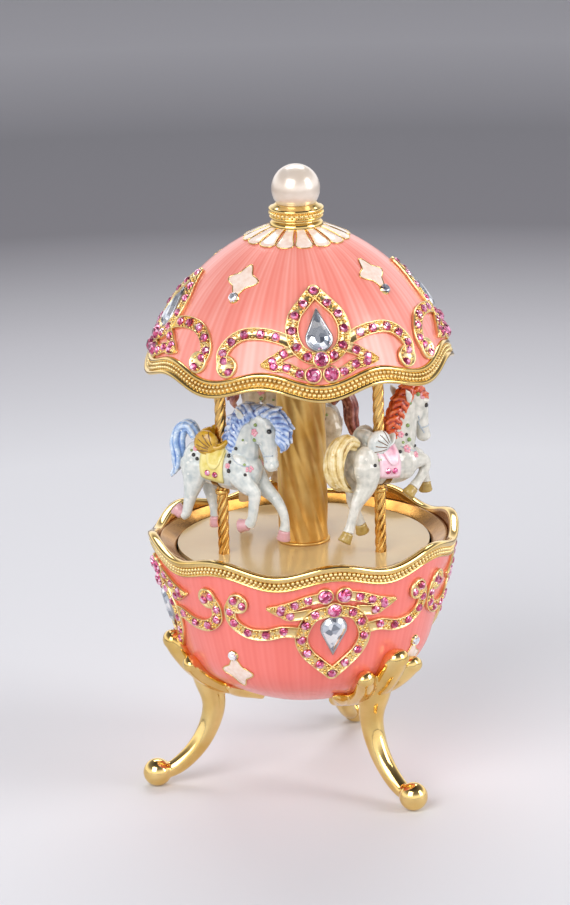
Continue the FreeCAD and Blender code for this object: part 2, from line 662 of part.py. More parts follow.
# The dome: a pointed shell with a waved edge, its band, and the stack that clamps it
dome_outside = dome_solid(0.0, dome_rim_z - 4)
dome_inside = dome_solid(wall, dome_rim_z - 5)
skirt = wavy_ring([(lambda z: 20.0, dome_rim_z - 8), (lambda z: 52.0, dome_rim_z - 8),
                   (lambda z: 52.0, dome_rim_z + lip_cover), (lambda z: 20.0, dome_rim_z + lip_cover)],
                  -dome_wave)
dome = dome_outside.cut(dome_inside).cut(skirt)
dome = dome.cut(disc(spindle_radius + fixed_fit, dome_rim_z, dome_rim_z + 60))
dome_band = wavy_ring([(lambda z: dome_radius(z) - 0.9, dome_rim_z),
                       (lambda z: dome_radius(z) + band_proud * 0.7, dome_rim_z),
                       (lambda z: dome_radius(z) + band_proud, dome_rim_z + band_height * 0.2),
                       (lambda z: dome_radius(z) + band_proud * 0.8, dome_rim_z + band_height * 0.35),
                       (lambda z: dome_radius(z) + band_proud * 0.8, dome_rim_z + band_height * 0.8),
                       (lambda z: dome_radius(z) + 0.5, dome_rim_z + band_height),
                       (lambda z: dome_radius(z) - 0.9, dome_rim_z + band_height)], -dome_wave)
nodes["dome_rim"] = dome_band.cut(dome)
nodes["dome_shell"] = dome

spacer_radius = 4.0
spacer_top = dome_height(spacer_radius, wall) - 0.05
nodes["dome_spacer"] = tube(spacer_radius, spindle_radius + fixed_fit, ceiling_z + ceiling_thick, spacer_top)

pearl = Part.makeSphere(pearl_radius, Vector(0, 0, pearl_centre))
collar = turned([(spindle_radius + fixed_fit, collar_base - 1), (6.2, collar_base - 1),
                 (6.6, collar_base + 0.6), (6.5, collar_base + 1.5), (5.9, collar_base + 2.1),
                 (6.9, collar_base + 2.7), (6.9, collar_base + 3.6), (6.2, collar_top),
                 (spindle_radius + fixed_fit, collar_top)])
collar = collar.cut(dome_outside).cut(Part.makeSphere(pearl_radius + fixed_fit, Vector(0, 0, pearl_centre)))
nodes["finial_collar"] = collar
nodes["pearl"] = pearl.cut(disc(peg + fixed_fit, pearl_centre - 8, pearl_centre - 0.9))

# The horses: each is one casting, lofted along a skeleton with x forward and z up from its post
trunk = [(-8.8, 3.0, 1.0, 0.9), (-8.1, 3.0, 3.2, 2.8), (-6.0, 2.2, 5.2, 4.4), (-2.4, 0.8, 5.3, 4.8),
         (1.8, 0.2, 5.4, 4.8), (5.8, 0.4, 5.8, 4.6), (9.0, 1.2, 4.6, 3.6), (10.9, 1.8, 1.6, 1.4)]
bowed_neck = [(4.6, 1.2, 5.0, 3.8), (6.0, 5.6, 4.7, 3.2), (7.0, 9.6, 3.8, 2.7), (8.0, 12.8, 3.0, 2.3),
              (8.8, 15.0, 1.6, 1.3)]
bowed_head = [(7.6, 14.8, 1.1, 1.0), (9.5, 14.0, 2.7, 2.2), (11.9, 11.2, 3.1, 2.5), (13.1, 7.2, 2.3, 2.0),
              (13.9, 3.9, 1.8, 1.6), (14.3, 1.9, 2.0, 1.7), (14.5, 0.6, 0.9, 0.9)]
raised_neck = [(4.8, 1.2, 5.0, 3.8), (6.6, 6.0, 4.6, 3.2), (8.0, 10.6, 3.8, 2.7), (9.2, 14.4, 3.0, 2.2),
               (10.0, 17.0, 1.6, 1.3)]
raised_head = [(8.4, 17.0, 1.0, 1.0), (10.1, 16.3, 2.6, 2.1), (12.2, 13.6, 3.0, 2.4), (13.2, 10.0, 2.2, 1.9),
               (13.8, 7.0, 1.7, 1.5), (14.1, 5.0, 1.9, 1.6), (14.2, 3.8, 0.9, 0.9)]
arched_tail = [(-7.0, 7.0, 1.3, 1.3), (-8.8, 9.6, 1.6, 1.6), (-11.0, 9.0, 1.8, 1.8), (-12.2, 5.8, 1.8, 1.9),
               (-12.2, 2.2, 1.7, 1.7), (-12.8, -0.8, 1.3, 1.3), (-13.8, -2.8, 0.5, 0.5)]
sweeping_tail = [(-7.2, 6.4, 1.4, 1.4), (-10.0, 8.0, 1.9, 2.1), (-13.0, 6.4, 2.3, 2.6),
                 (-14.2, 2.8, 2.4, 2.8), (-13.6, -0.8, 2.2, 2.5), (-11.8, -3.2, 1.5, 1.8),
                 (-9.8, -4.4, 0.5, 0.5)]
bowed_mane = [(2.4, 6.2, 0.8, 1.2), (2.6, 8.8, 1.8, 2.4), (3.8, 12.0, 2.2, 2.6), (5.8, 14.8, 2.2, 2.5),
              (8.4, 16.4, 1.9, 2.3), (11.6, 16.4, 1.6, 2.0), (14.6, 15.2, 1.4, 1.7), (16.6, 13.2, 1.0, 1.1),
              (17.2, 11.6, 0.4, 0.5)]
raised_mane = [(2.6, 7.6, 0.8, 1.2), (3.0, 10.6, 1.8, 2.2), (4.8, 14.2, 2.1, 2.3), (7.0, 17.4, 2.1, 2.3),
               (9.6, 19.0, 1.8, 2.0), (12.2, 18.4, 1.3, 1.5), (13.8, 16.4, 0.5, 0.6)]
gallop_legs = [
    (-3.0, [(6.4, -0.4, 3.2, 2.2), (8.6, -3.0, 2.4, 1.9), (10.7, -4.6, 1.8, 1.6), (10.5, -8.0, 1.4, 1.3),
            (9.9, -11.6, 1.3, 1.2), (8.9, -13.2, 1.5, 1.4), (7.0, -13.6, 1.6, 1.5)]),
    (3.0, [(7.0, -0.4, 3.2, 2.2), (10.1, -4.6, 2.3, 1.8), (13.6, -7.6, 1.6, 1.4), (15.6, -11.0, 1.25, 1.15),
           (16.0, -13.8, 1.2, 1.1), (15.8, -15.4, 1.5, 1.4), (15.5, -17.4, 1.8, 1.7)]),
    (-3.0, [(-5.8, 1.4, 4.2, 2.4), (-6.4, -3.2, 3.0, 2.1), (-7.5, -7.4, 1.8, 1.5), (-8.2, -10.0, 1.4, 1.2),
            (-8.9, -12.2, 1.3, 1.2), (-9.9, -12.8, 1.4, 1.3), (-11.4, -11.6, 1.6, 1.5)]),
    (3.0, [(-5.8, 1.4, 4.2, 2.4), (-5.4, -3.8, 3.0, 2.0), (-4.8, -8.2, 1.8, 1.5), (-4.3, -10.6, 1.4, 1.2),
           (-4.0, -12.8, 1.25, 1.15), (-3.9, -14.0, 1.4, 1.3), (-3.7, -15.6, 1.6, 1.5)])]
prance_legs = [
    (-3.0, [(6.8, 0.2, 3.2, 2.2), (9.4, 0.2, 2.2, 1.8), (11.6, -0.2, 1.7, 1.6), (12.2, -1.8, 1.4, 1.4),
            (11.2, -3.8, 1.2, 1.2), (9.8, -5.4, 1.25, 1.15), (8.4, -6.7, 1.5, 1.4), (6.8, -8.0, 1.8, 1.7)]),
    (3.0, [(7.4, 0.6, 3.2, 2.2), (11.2, 0.2, 2.3, 1.8), (14.6, -0.8, 1.7, 1.5), (16.0, -3.6, 1.3, 1.2),
           (16.6, -6.6, 1.2, 1.1), (16.7, -8.0, 1.5, 1.4), (16.8, -9.8, 1.7, 1.6)]),
    (-3.0, [(-5.8, 1.4, 4.2, 2.4), (-6.4, -3.4, 3.0, 2.1), (-9.2, -7.2, 1.8, 1.5), (-10.4, -9.8, 1.4, 1.2),
            (-11.6, -13.0, 1.3, 1.2), (-12.3, -14.6, 1.5, 1.4), (-13.5, -16.4, 1.8, 1.7)]),
    (3.0, [(-5.8, 1.4, 4.2, 2.4), (-5.6, -4.0, 3.0, 2.0), (-6.2, -8.6, 1.8, 1.5), (-5.6, -11.2, 1.4, 1.2),
           (-4.6, -13.8, 1.25, 1.15), (-4.1, -15.2, 1.4, 1.3), (-3.6, -16.8, 1.6, 1.5)])]
saddle = [(-5.8, 10.0, 0.7, 2.8), (-5.2, 8.4, 1.0, 3.8), (-3.6, 6.8, 1.1, 4.6), (-1.2, 6.0, 1.1, 4.8),
          (1.2, 6.2, 1.0, 4.4), (2.8, 7.4, 1.0, 3.3), (3.6, 8.6, 0.6, 1.8)]
SIDE = Vector(0, 1, 0)


def limb(points, y=0.0):
    path = [(Vector(x, y, z), across, side) for x, z, across, side in points]
    return sweep_tube(path, [SIDE] * len(path))


def horse(neck, head, mane, tail, legs):
    pieces = [limb(line) for line in (trunk, neck, head, mane, tail, saddle)]
    pieces += [limb(points, y) for y, points in legs]
    poll = Vector(head[1][0], 0, head[1][1])
    for side in (-1, 1):
        tip = Vector(-0.25, 0.25 * side, 1.0)
        pieces.append(Part.makeCone(0.95, 0.25, 3.4, poll + Vector(-0.6, 1.3 * side, 1.2), tip))
    whole = fused(pieces)
    return whole.cut(disc(post_radius + fixed_fit, -40, 40))


horse_yaw = {"horse_blue": 34.0, "horse_red": -22.0, "horse_brown": 0.0}
gallop = horse(bowed_neck, bowed_head, bowed_mane, arched_tail, gallop_legs)
prance = horse(raised_neck, raised_head, raised_mane, sweeping_tail, prance_legs)
casts = {"horse_blue": gallop, "horse_red": prance, "horse_brown": gallop}
for (name, cast), azimuth in zip(casts.items(), post_azimuths):
    placed = cast.copy()
    placed.rotate(ORIGIN, AXIS, azimuth + horse_yaw[name])
    nodes[name] = placed.translated(polar(post_circle, azimuth, turntable_z + horse_height))

# The ornament: gold medallions on the dome and the bowl, with stones set in them
medallion_azimuths = (0.0, 90.0, 180.0, 270.0)
star_azimuths = (45.0, 135.0, 225.0, 315.0)
pear_length = 10.0
pear_width = 6.0
stone_height = 1.5
girdle = stone_height * 0.35
star_stone = 1.5
small_stone = 0.85
large_stone = 1.65
gold_height = 0.8

# Places on a medallion: distance sideways along the surface, then height from the egg's nearest rim
dome_frame = [(0.0, 23.0), (2.9, 20.5), (5.3, 18.1), (6.4, 14.9), (5.6, 11.4), (3.2, 9.3), (0.0, 8.5)]
dome_arm = [(6.6, 12.4), (10.4, 13.6), (14.1, 14.1), (18.4, 13.7), (22.0, 11.9), (24.6, 9.2), (24.8, 6.8)]
dome_wing = [(5.8, 11.0), (8.9, 9.9), (11.8, 8.2), (14.8, 7.2)]
dome_keel = [(1.6, 4.6), (5.4, 5.5), (8.5, 6.9), (11.6, 7.1), (14.8, 7.1)]
dome_ends = [(23.7, 6.2)]
dome_large = [(0.0, 8.5), (2.2, 5.1), (-2.2, 5.1)]
dome_pear = 13.1
dome_star = 21.1
bowl_frame = [(0.0, -28.6), (3.1, -25.8), (6.3, -22.5), (7.9, -18.7), (7.0, -14.6), (4.7, -11.7),
              (0.0, -10.6)]
bowl_arm = [(8.0, -16.6), (12.3, -16.3), (16.7, -17.5), (21.4, -17.3), (25.2, -15.0), (26.4, -12.0),
            (25.8, -9.6)]
bowl_wing = [(5.4, -11.0), (10.8, -11.9), (13.2, -10.8), (16.8, -9.9)]
bowl_keel = [(1.8, -6.6), (6.5, -7.6), (9.8, -8.9), (13.0, -10.0), (16.8, -9.9)]
bowl_ends = [(24.4, -9.4)]
bowl_large = [(0.0, -10.6), (2.4, -6.7), (-2.4, -6.7)]
bowl_pear = -15.8
bowl_star = -25.0


def dome_tilt(z):
    return math.degrees(math.asin((z - dome_centre_z) / dome_arc))


def bowl_tilt(z):
    knuckle_top = knuckle_centre[1] - bowl_knuckle_arc * math.sin(math.radians(bowl_wall_angle))
    if z >= knuckle_top:
        return -math.degrees(math.asin((wall_centre[1] - z) / bowl_wall_arc))
    return -math.degrees(math.asin((knuckle_centre[1] - z) / bowl_knuckle_arc))


def on_shell(spot, rim_z, radius_rule, tilt_rule, lift=0.0):
    """A place on a shell at azimuth 90 and its outward normal."""
    along, rise = spot
    z = rim_z + rise
    radius = radius_rule(z)
    turn = 90.0 + math.degrees(along / radius)
    tilt = math.radians(tilt_rule(z))
    normal = polar(math.cos(tilt), turn, math.sin(tilt))
    return polar(radius, turn, z) + normal * lift, normal


def mirrored(places):
    return places + [(-along, rise) for along, rise in places if along]


def pear_wire(scale, lift):
    """A pear outline in the yz plane, its point up, at a height along x."""
    radius = pear_width / 2 * scale
    reach = (pear_length - pear_width / 2) * scale
    turn = math.acos(radius / reach)
    left = Vector(lift, -radius * math.sin(turn), radius * math.cos(turn))
    right = Vector(lift, radius * math.sin(turn), radius * math.cos(turn))
    low = Part.Arc(left, Vector(lift, 0, -radius), right).toShape()
    point = Vector(lift, 0, reach)
    return Part.Wire([low, Part.makeLine(right, point), Part.makeLine(point, left)])


def round_stone(radius, low, high, base, normal):
    """A round stone on a normal: a straight girdle from low up, then a crown to high."""
    waist = low + (high - low) * 0.4
    body = Part.makeCylinder(radius, waist - low, base + normal * low, normal)
    return body.fuse(Part.makeCone(radius, radius * 0.6, high - waist, base + normal * waist, normal))


def prism(points):
    """A prism along x over an outline in the yz plane."""
    corners = [Vector(10, point.y, point.z) for point in points]
    return Part.Face(Part.makePolygon(corners + corners[:1])).extrude(Vector(50, 0, 0))


def strip(line, half_width, rules):
    """A prism over a band of gold that follows a line of places on a shell."""
    curve = Part.BSplineCurve()
    curve.interpolate(Points=[Vector(along, rise, 0) for along, rise in line])
    samples = curve.discretize(3 * len(line))
    spots = [on_shell((point.x, point.y), *rules) for point in samples]
    left = []
    right = []
    last = len(spots) - 1
    for i, (centre, normal) in enumerate(spots):
        side = normal.cross(spots[min(i + 1, last)][0] - spots[max(i - 1, 0)][0])
        side.normalize()
        left.append(centre + side * half_width)
        right.append(centre - side * half_width)
    return prism(left + right[::-1])


def boss(spot, radius, rules, corners=14):
    """A prism over a round of gold at a place on a shell."""
    centre, normal = on_shell(spot, *rules)
    level = Vector(-normal.y, normal.x, 0)
    level.normalize()
    up = normal.cross(level)
    angles = [2 * math.pi * k / corners for k in range(corners)]
    return prism([centre + level * (radius * math.cos(a)) + up * (radius * math.sin(a)) for a in angles])


def ornament(rules, layer, shell, lines, ends, large, pear, star, point_up):
    """One medallion, its pink stones, its pear stone and the star's stone, made at azimuth 90."""
    gold = []
    small = []
    for half_width, stones_from, line in lines:
        for side in (-1, 1):
            gold.append(strip([(side * along, rise) for along, rise in line], half_width, rules))
        small += line[stones_from:-1]
    gold += [boss(spot, 2.1, rules) for spot in mirrored(ends)]
    gold += [boss(spot, large_stone + 0.35, rules) for spot in large]
    gold.append(boss(lines[0][2][0], 1.35, rules))
    frame = fused(gold).common(layer)
    stones = []
    for spot in mirrored(small + ends):
        place = on_shell(spot, *rules)
        stones.append(round_stone(small_stone, gold_height + 0.02, gold_height + 0.6, *place))
    for spot in large:
        place = on_shell(spot, *rules)
        stones.append(round_stone(large_stone, gold_height + 0.05, gold_height + 1.1, *place))
    rim_z, radius_rule, tilt_rule = rules
    z = rim_z + pear
    drop = Part.makeLoft([pear_wire(1.0, -1.2), pear_wire(1.0, girdle), pear_wire(0.62, stone_height)],
                         True, True)
    if not point_up:
        drop.rotate(ORIGIN, Vector(1, 0, 0), 180.0)
    drop.rotate(ORIGIN, Vector(0, 1, 0), -tilt_rule(z))
    drop = drop.translated(Vector(radius_rule(z), 0, z)).cut(shell)
    sparkle = round_stone(star_stone, 0.01, 1.2, *on_shell((0.0, star), *rules))
    return frame, Part.makeCompound(stones), drop, sparkle


def all_round(shape, azimuths, rest=0.0):
    copies = [about_axis(shape, azimuth + rest) for azimuth in azimuths]
    return Part.makeCompound([solid for copy in copies for solid in copy.Solids])


dome_lines = [(1.15, 0, dome_frame), (1.1, 1, dome_arm), (1.0, 1, dome_wing), (1.0, 1, dome_keel)]
bowl_lines = [(1.15, 0, bowl_frame), (1.1, 1, bowl_arm), (1.0, 1, bowl_wing), (1.0, 1, bowl_keel)]
dome_rules = (dome_rim_z, dome_radius, dome_tilt)
bowl_rules = (bowl_rim_z, bowl_radius, bowl_tilt)
dome_layer = dome_solid(-gold_height, dome_rim_z - 4).cut(dome_outside)
bowl_layer = bowl_solid(-gold_height, bowl_rim_z + 3).cut(bowl_outside)
dome_set = ornament(dome_rules, dome_layer, dome_outside, dome_lines, dome_ends, dome_large, dome_pear,
                    dome_star, True)
bowl_set = ornament(bowl_rules, bowl_layer, bowl_outside, bowl_lines, bowl_ends, bowl_large, bowl_pear,
                    bowl_star, False)
for shell, pieces, rest in (("dome", dome_set, dome_rest), ("bowl", bowl_set, 0.0)):
    nodes[shell + "_medallions"] = all_round(pieces[0], medallion_azimuths, rest)
    nodes[shell + "_pink_stones"] = all_round(pieces[1], medallion_azimuths, rest)
    nodes[shell + "_pear_stones"] = all_round(pieces[2], medallion_azimuths, rest)
    nodes[shell + "_star_stones"] = all_round(pieces[3], star_azimuths, rest)
for name in ("dome_shell", "dome_rim"):
    nodes[name].rotate(ORIGIN, AXIS, dome_rest)

# The left leg's top lobe covers the tip of the medallion above it
cover_leg = nodes["leg_left"]
nodes["bowl_medallions"] = Part.makeCompound(
    [solid.cut(cover_leg) if solid.BoundBox.intersect(cover_leg.BoundBox) else solid
     for solid in nodes["bowl_medallions"].Solids])
nodes["bowl_pink_stones"] = Part.makeCompound(
    [solid for solid in nodes["bowl_pink_stones"].Solids if solid.common(cover_leg).Volume < 1e-6])

os.makedirs("parts", exist_ok=True)
for name, shape in nodes.items():
    shape.exportStep("parts/" + name + ".step")
    print(name, len(shape.Solids), round(shape.Volume, 1), shape.isValid())
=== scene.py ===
# %% [markdown]
# # A carousel music box in enamel and gold
# The object is an egg on three cabriole legs. Its lower half is an enamelled bowl that hides a
# wind-up movement, its upper half is an enamelled dome, and three horses ride between them. The
# CAD model gives every piece its size and its place. This script loads that model as a fixed frame
# and builds the surfaces that the eye sees on top of it.

# %% Load the CAD frame
import json
import math
from collections import namedtuple

import bmesh
import bpy
from mathutils import Matrix, Vector
from mathutils.bvhtree import BVHTree


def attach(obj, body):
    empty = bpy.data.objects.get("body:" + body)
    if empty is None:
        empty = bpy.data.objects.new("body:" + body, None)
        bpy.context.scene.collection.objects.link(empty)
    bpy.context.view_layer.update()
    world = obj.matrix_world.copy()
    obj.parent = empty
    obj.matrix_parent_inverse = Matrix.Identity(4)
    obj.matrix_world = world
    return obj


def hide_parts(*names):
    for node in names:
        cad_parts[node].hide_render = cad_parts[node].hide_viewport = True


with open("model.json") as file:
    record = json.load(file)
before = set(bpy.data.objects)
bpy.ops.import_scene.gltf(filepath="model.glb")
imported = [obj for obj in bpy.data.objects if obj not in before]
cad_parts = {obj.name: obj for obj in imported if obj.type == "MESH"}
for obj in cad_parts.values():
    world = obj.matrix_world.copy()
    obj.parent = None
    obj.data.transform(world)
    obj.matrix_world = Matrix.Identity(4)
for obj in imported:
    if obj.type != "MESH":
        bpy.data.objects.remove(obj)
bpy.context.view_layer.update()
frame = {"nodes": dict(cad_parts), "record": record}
nodes = frame["nodes"]
scene = bpy.context.scene

# %% [markdown]
# ## The egg as two rules
# The bowl and the dome are turned shapes, so a rule that gives the radius at each height says all
# there is to say about them. The arcs below are the ones that the CAD model uses. Lengths are in
# millimetres until a mesh is made, because that is how a maker measures such a piece. An azimuth is
# an angle in degrees from the front of the egg towards its right.

# %% Sizes and profiles of the egg
MM = 0.001
BOWL_BOTTOM = 22.0
BOWL_RIM = 66.1
BOTTOM_ARC = 45.0
KNUCKLE_ARC = 16.0
WALL_ARC = 240.0
KNUCKLE_ANGLE = math.radians(35.0)
WALL_ANGLE = math.radians(17.0)
DOME_RIM = 110.3
DOME_ARC = 48.9
DOME_OFFSET = 9.52
DOME_CENTRE = 98.3
WALL = 1.4
RIM_WAVES = 8
TURNTABLE_TOP = 62.7
CEILING = 112.2
KNUCKLE_R = (BOTTOM_ARC - KNUCKLE_ARC) * math.sin(KNUCKLE_ANGLE)
KNUCKLE_Z = BOWL_BOTTOM + BOTTOM_ARC - (BOTTOM_ARC - KNUCKLE_ARC) * math.cos(KNUCKLE_ANGLE)
WALL_R = KNUCKLE_R - (WALL_ARC - KNUCKLE_ARC) * math.cos(WALL_ANGLE)
WALL_Z = KNUCKLE_Z + (WALL_ARC - KNUCKLE_ARC) * math.sin(WALL_ANGLE)
KNUCKLE_TOP = KNUCKLE_Z - KNUCKLE_ARC * math.sin(WALL_ANGLE)
KNUCKLE_LOW = KNUCKLE_Z - KNUCKLE_ARC * math.cos(KNUCKLE_ANGLE)


def polar(radius, azimuth, z):
    a = math.radians(azimuth)
    return Vector((radius * math.sin(a), -radius * math.cos(a), z))


def bowl_radius(z, inset=0.0):
    if z >= KNUCKLE_TOP:
        return WALL_R + math.sqrt((WALL_ARC - inset) ** 2 - (z - WALL_Z) ** 2)
    if z >= KNUCKLE_LOW:
        return KNUCKLE_R + math.sqrt((KNUCKLE_ARC - inset) ** 2 - (z - KNUCKLE_Z) ** 2)
    drop = BOWL_BOTTOM + BOTTOM_ARC - z
    return math.sqrt(max((BOTTOM_ARC - inset) ** 2 - drop ** 2, 0.0))


def bowl_tilt(z):
    if z >= KNUCKLE_TOP:
        return -math.asin((WALL_Z - z) / WALL_ARC)
    if z >= KNUCKLE_LOW:
        return -math.asin((KNUCKLE_Z - z) / KNUCKLE_ARC)
    return -math.asin(min((BOWL_BOTTOM + BOTTOM_ARC - z) / BOTTOM_ARC, 1.0))


def dome_radius(z, inset=0.0):
    return math.sqrt(max((DOME_ARC - inset) ** 2 - (z - DOME_CENTRE) ** 2, 0.0)) - DOME_OFFSET


def dome_height(radius, inset=0.0):
    return DOME_CENTRE + math.sqrt((DOME_ARC - inset) ** 2 - (radius + DOME_OFFSET) ** 2)


def dome_tilt(z):
    return math.asin((z - DOME_CENTRE) / DOME_ARC)


Shell = namedtuple("Shell", "name body rim radius tilt wave rest")
BOWL = Shell("bowl", "base", BOWL_RIM, bowl_radius, bowl_tilt, 1.34, 0.0)
DOME = Shell("dome", "carousel", DOME_RIM, dome_radius, dome_tilt, -1.44, -2.7)


def on_shell(shell, along, rise, lift=0.0):
    """A place on a shell near its front: sideways along it, a rise from its rim, a lift off it."""
    z = shell.rim + rise
    radius = shell.radius(z)
    turn = math.degrees(along / radius)
    tilt = shell.tilt(z)
    normal = polar(math.cos(tilt), turn, math.sin(tilt))
    return polar(radius, turn, z) + normal * lift, normal


def laid_on(shell, point, lift=0.0):
    """The place on a shell at a point's own azimuth and height, with its normal."""
    turn = math.degrees(math.atan2(point.x, -point.y))
    tilt = shell.tilt(point.z)
    normal = polar(math.cos(tilt), turn, math.sin(tilt))
    return polar(shell.radius(point.z), turn, point.z) + normal * lift, normal


def rim_wave(shell, azimuth):
    return shell.wave * math.cos(math.radians(RIM_WAVES * azimuth))


print("bowl mouth", round(bowl_radius(BOWL_RIM), 2), "dome mouth", round(dome_radius(DOME_RIM), 2))

# %% [markdown]
# ## Meshes from rings
# Almost everything here is a loft: a row of rings with faces between one ring and the next. A turned
# collar, a swept wire and a horse's leg differ only in where their rings lie, so one small function
# makes the faces for them all. A second one turns such shapes into a mesh in metres, joins double
# points and points the faces outwards.

# %% Lofts and rounded shapes
def loft(rings, caps=False, loop=False):
    """Points and faces of a loft through rings that all have the same number of points."""
    size = len(rings[0])
    points = [point for ring in rings for point in ring]
    faces = []
    for i in range(len(rings) if loop else len(rings) - 1):
        j = (i + 1) % len(rings)
        for k in range(size):
            n = (k + 1) % size
            faces.append((i * size + k, i * size + n, j * size + n, j * size + k))
    if caps:
        faces.append(tuple(reversed(range(size))))
        faces.append(tuple(range(len(points) - size, len(points))))
    return points, faces


def turned(profile, columns=128):
    """A closed lathe shape from a closed list of (radius, z) corners."""
    rings = [[polar(r, 360.0 * k / columns, z) for r, z in profile] for k in range(columns)]
    return loft(rings, loop=True)


def curve_through(points, steps=6):
    """A smooth line through points of any size, with a number of steps on each span."""
    ends = [points[0]] + list(points) + [points[-1]]
    line = []
    for i in range(len(points) - 1):
        a, b, c, d = ends[i:i + 4]
        for k in range(steps):
            t = k / steps
            line.append(tuple(
                0.5 * (2 * q + (r - p) * t + (2 * p - 5 * q + 4 * r - s) * t * t
                       + (3 * q - p - 3 * r + s) * t ** 3)
                for p, q, r, s in zip(a, b, c, d)))
    line.append(tuple(points[-1]))
    return line


def ring_round(centre, first, second, depth, width, corners):
    """Points round a centre on an ellipse that has its half-axes along two unit vectors."""
    angles = [2 * math.pi * k / corners for k in range(corners)]
    return [centre + first * (depth * math.cos(a)) + second * (width * math.sin(a)) for a in angles]


def limb(path, side=Vector((0, 1, 0)), corners=14):
    """A rounded tube: each path entry is (centre, half-depth, half-width along the side vector)."""
    rings = []
    last = len(path) - 1
    for i, (centre, depth, width) in enumerate(path):
        tangent = (path[min(i + 1, last)][0] - path[max(i - 1, 0)][0]).normalized()
        across = (side - tangent * side.dot(tangent)).normalized()
        rings.append(ring_round(centre, across.cross(tangent), across, depth, width, corners))
    return loft(rings, caps=True)


def ball(centre, radii, turns=16, bands=10):
    """An ellipsoid, used as a lump of clay in a sculpted piece."""
    rings = []
    for i in range(1, bands):
        b = math.pi * i / bands
        rings.append([centre + Vector((radii[0] * math.sin(b) * math.cos(2 * math.pi * k / turns),
                                       radii[1] * math.sin(b) * math.sin(2 * math.pi * k / turns),
                                       radii[2] * math.cos(b))) for k in range(turns)])
    return loft(rings, caps=True)


print("faces of a lump of clay:", len(ball(Vector((0, 0, 0)), (1.0, 1.0, 1.0))[1]))

# %% Plain meshes
SAME_POINT = 0.002
SOFTENING = 0.5


def mesh_of(name, shapes, smooth=True):
    """One mesh, in metres, of shapes given as points in millimetres and faces."""
    points = []
    faces = []
    for shape_points, shape_faces in shapes:
        base = len(points)
        points += [tuple(c * MM for c in point) for point in shape_points]
        faces += [tuple(base + k for k in face) for face in shape_faces]
    mesh = bpy.data.meshes.new(name)
    mesh.from_pydata(points, [], faces)
    edit = bmesh.new()
    edit.from_mesh(mesh)
    bmesh.ops.remove_doubles(edit, verts=edit.verts, dist=SAME_POINT * MM)
    bmesh.ops.recalc_face_normals(edit, faces=edit.faces)
    edit.to_mesh(mesh)
    edit.free()
    mesh.polygons.foreach_set("use_smooth", [smooth] * len(mesh.polygons))
    return mesh


def evaluated_mesh(obj):
    """The plain mesh that an object's modifiers make; the object itself is removed."""
    bpy.context.view_layer.update()
    depsgraph = bpy.context.evaluated_depsgraph_get()
    mesh = bpy.data.meshes.new_from_object(obj.evaluated_get(depsgraph))
    bpy.data.objects.remove(obj)
    return mesh


def sculpted(name, shapes, voxel, rounds):
    """Overlapping shapes joined into one skin, as clay is, and smoothed."""
    obj = bpy.data.objects.new(name, mesh_of(name, shapes))
    scene.collection.objects.link(obj)
    skin = obj.modifiers.new("skin", "REMESH")
    skin.mode = "VOXEL"
    skin.voxel_size = voxel * MM
    soften = obj.modifiers.new("soften", "SMOOTH")
    soften.factor = SOFTENING
    soften.iterations = rounds
    mesh = evaluated_mesh(obj)
    mesh.polygons.foreach_set("use_smooth", [True] * len(mesh.polygons))
    return mesh


print("points closer than", SAME_POINT, "mm are joined")

# %% Pieces that ride on CAD bodies
pieces_made = []


def piece(name, mesh, material, body, stands_for=()):
    """Puts a finished mesh in the scene, on a CAD body, in place of the CAD nodes it stands for."""
    obj = bpy.data.objects.new(name, mesh)
    scene.collection.objects.link(obj)
    if material:
        mesh.materials.clear()
        mesh.materials.append(material)
    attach(obj, body)
    if stands_for:
        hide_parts(*stands_for)
    pieces_made.append(name)
    return obj


print("pieces so far:", len(pieces_made))

# %% [markdown]
# ## Camera, light and floor
# The photograph was taken from a little above and a little to the left, with a long lens. The light is
# a bright tent with soft lights on the left, on the right and behind. The floor is a plain pale sheet
# with a painted pool of light: its colour is painted darker far behind the object, where less light falls.

# %% Nodes and colours
def linear(colour):
    """An sRGB hex colour as the linear values that shaders work in."""
    channels = [int(colour[i:i + 2], 16) / 255 for i in (1, 3, 5)]
    return [c / 12.92 if c <= 0.04045 else ((c + 0.055) / 1.055) ** 2.4 for c in channels] + [1.0]


def add(tree, kind, values=None, links=None, stops=(), **settings):
    """Adds one node: settings are its properties; values and links are its inputs by name or number.

    Stops are the (place, hex colour) marks of a node that is a colour ramp.
    """
    node = tree.nodes.new(kind)
    for key, value in settings.items():
        setattr(node, key, value)
    for key, value in (values or {}).items():
        node.inputs[key].default_value = value
    for key, source in (links or {}).items():
        tree.links.new(source, node.inputs[key])
    marks = node.color_ramp.elements if stops else ()
    while len(marks) < len(stops):
        marks.new(0.5)
    for mark, (place, colour) in zip(marks, stops):
        mark.position = place
        mark.color = linear(colour)
    return node


def finish(name, colour, roughness, metallic=0.0, **sockets):
    """A new material on the Principled shader; gives the material, its tree, its shader and coordinates."""
    material = bpy.data.materials.new(name)
    material.use_nodes = True
    tree = material.node_tree
    shader = tree.nodes["Principled BSDF"]
    shader.inputs["Base Color"].default_value = linear(colour)
    shader.inputs["Roughness"].default_value = roughness
    shader.inputs["Metallic"].default_value = metallic
    for socket, value in sockets.items():
        shader.inputs[socket.replace("_", " ")].default_value = value
    return material, tree, shader, add(tree, "ShaderNodeTexCoord").outputs["Object"]


print("middle grey in linear light:", round(linear("#808080")[0], 3))

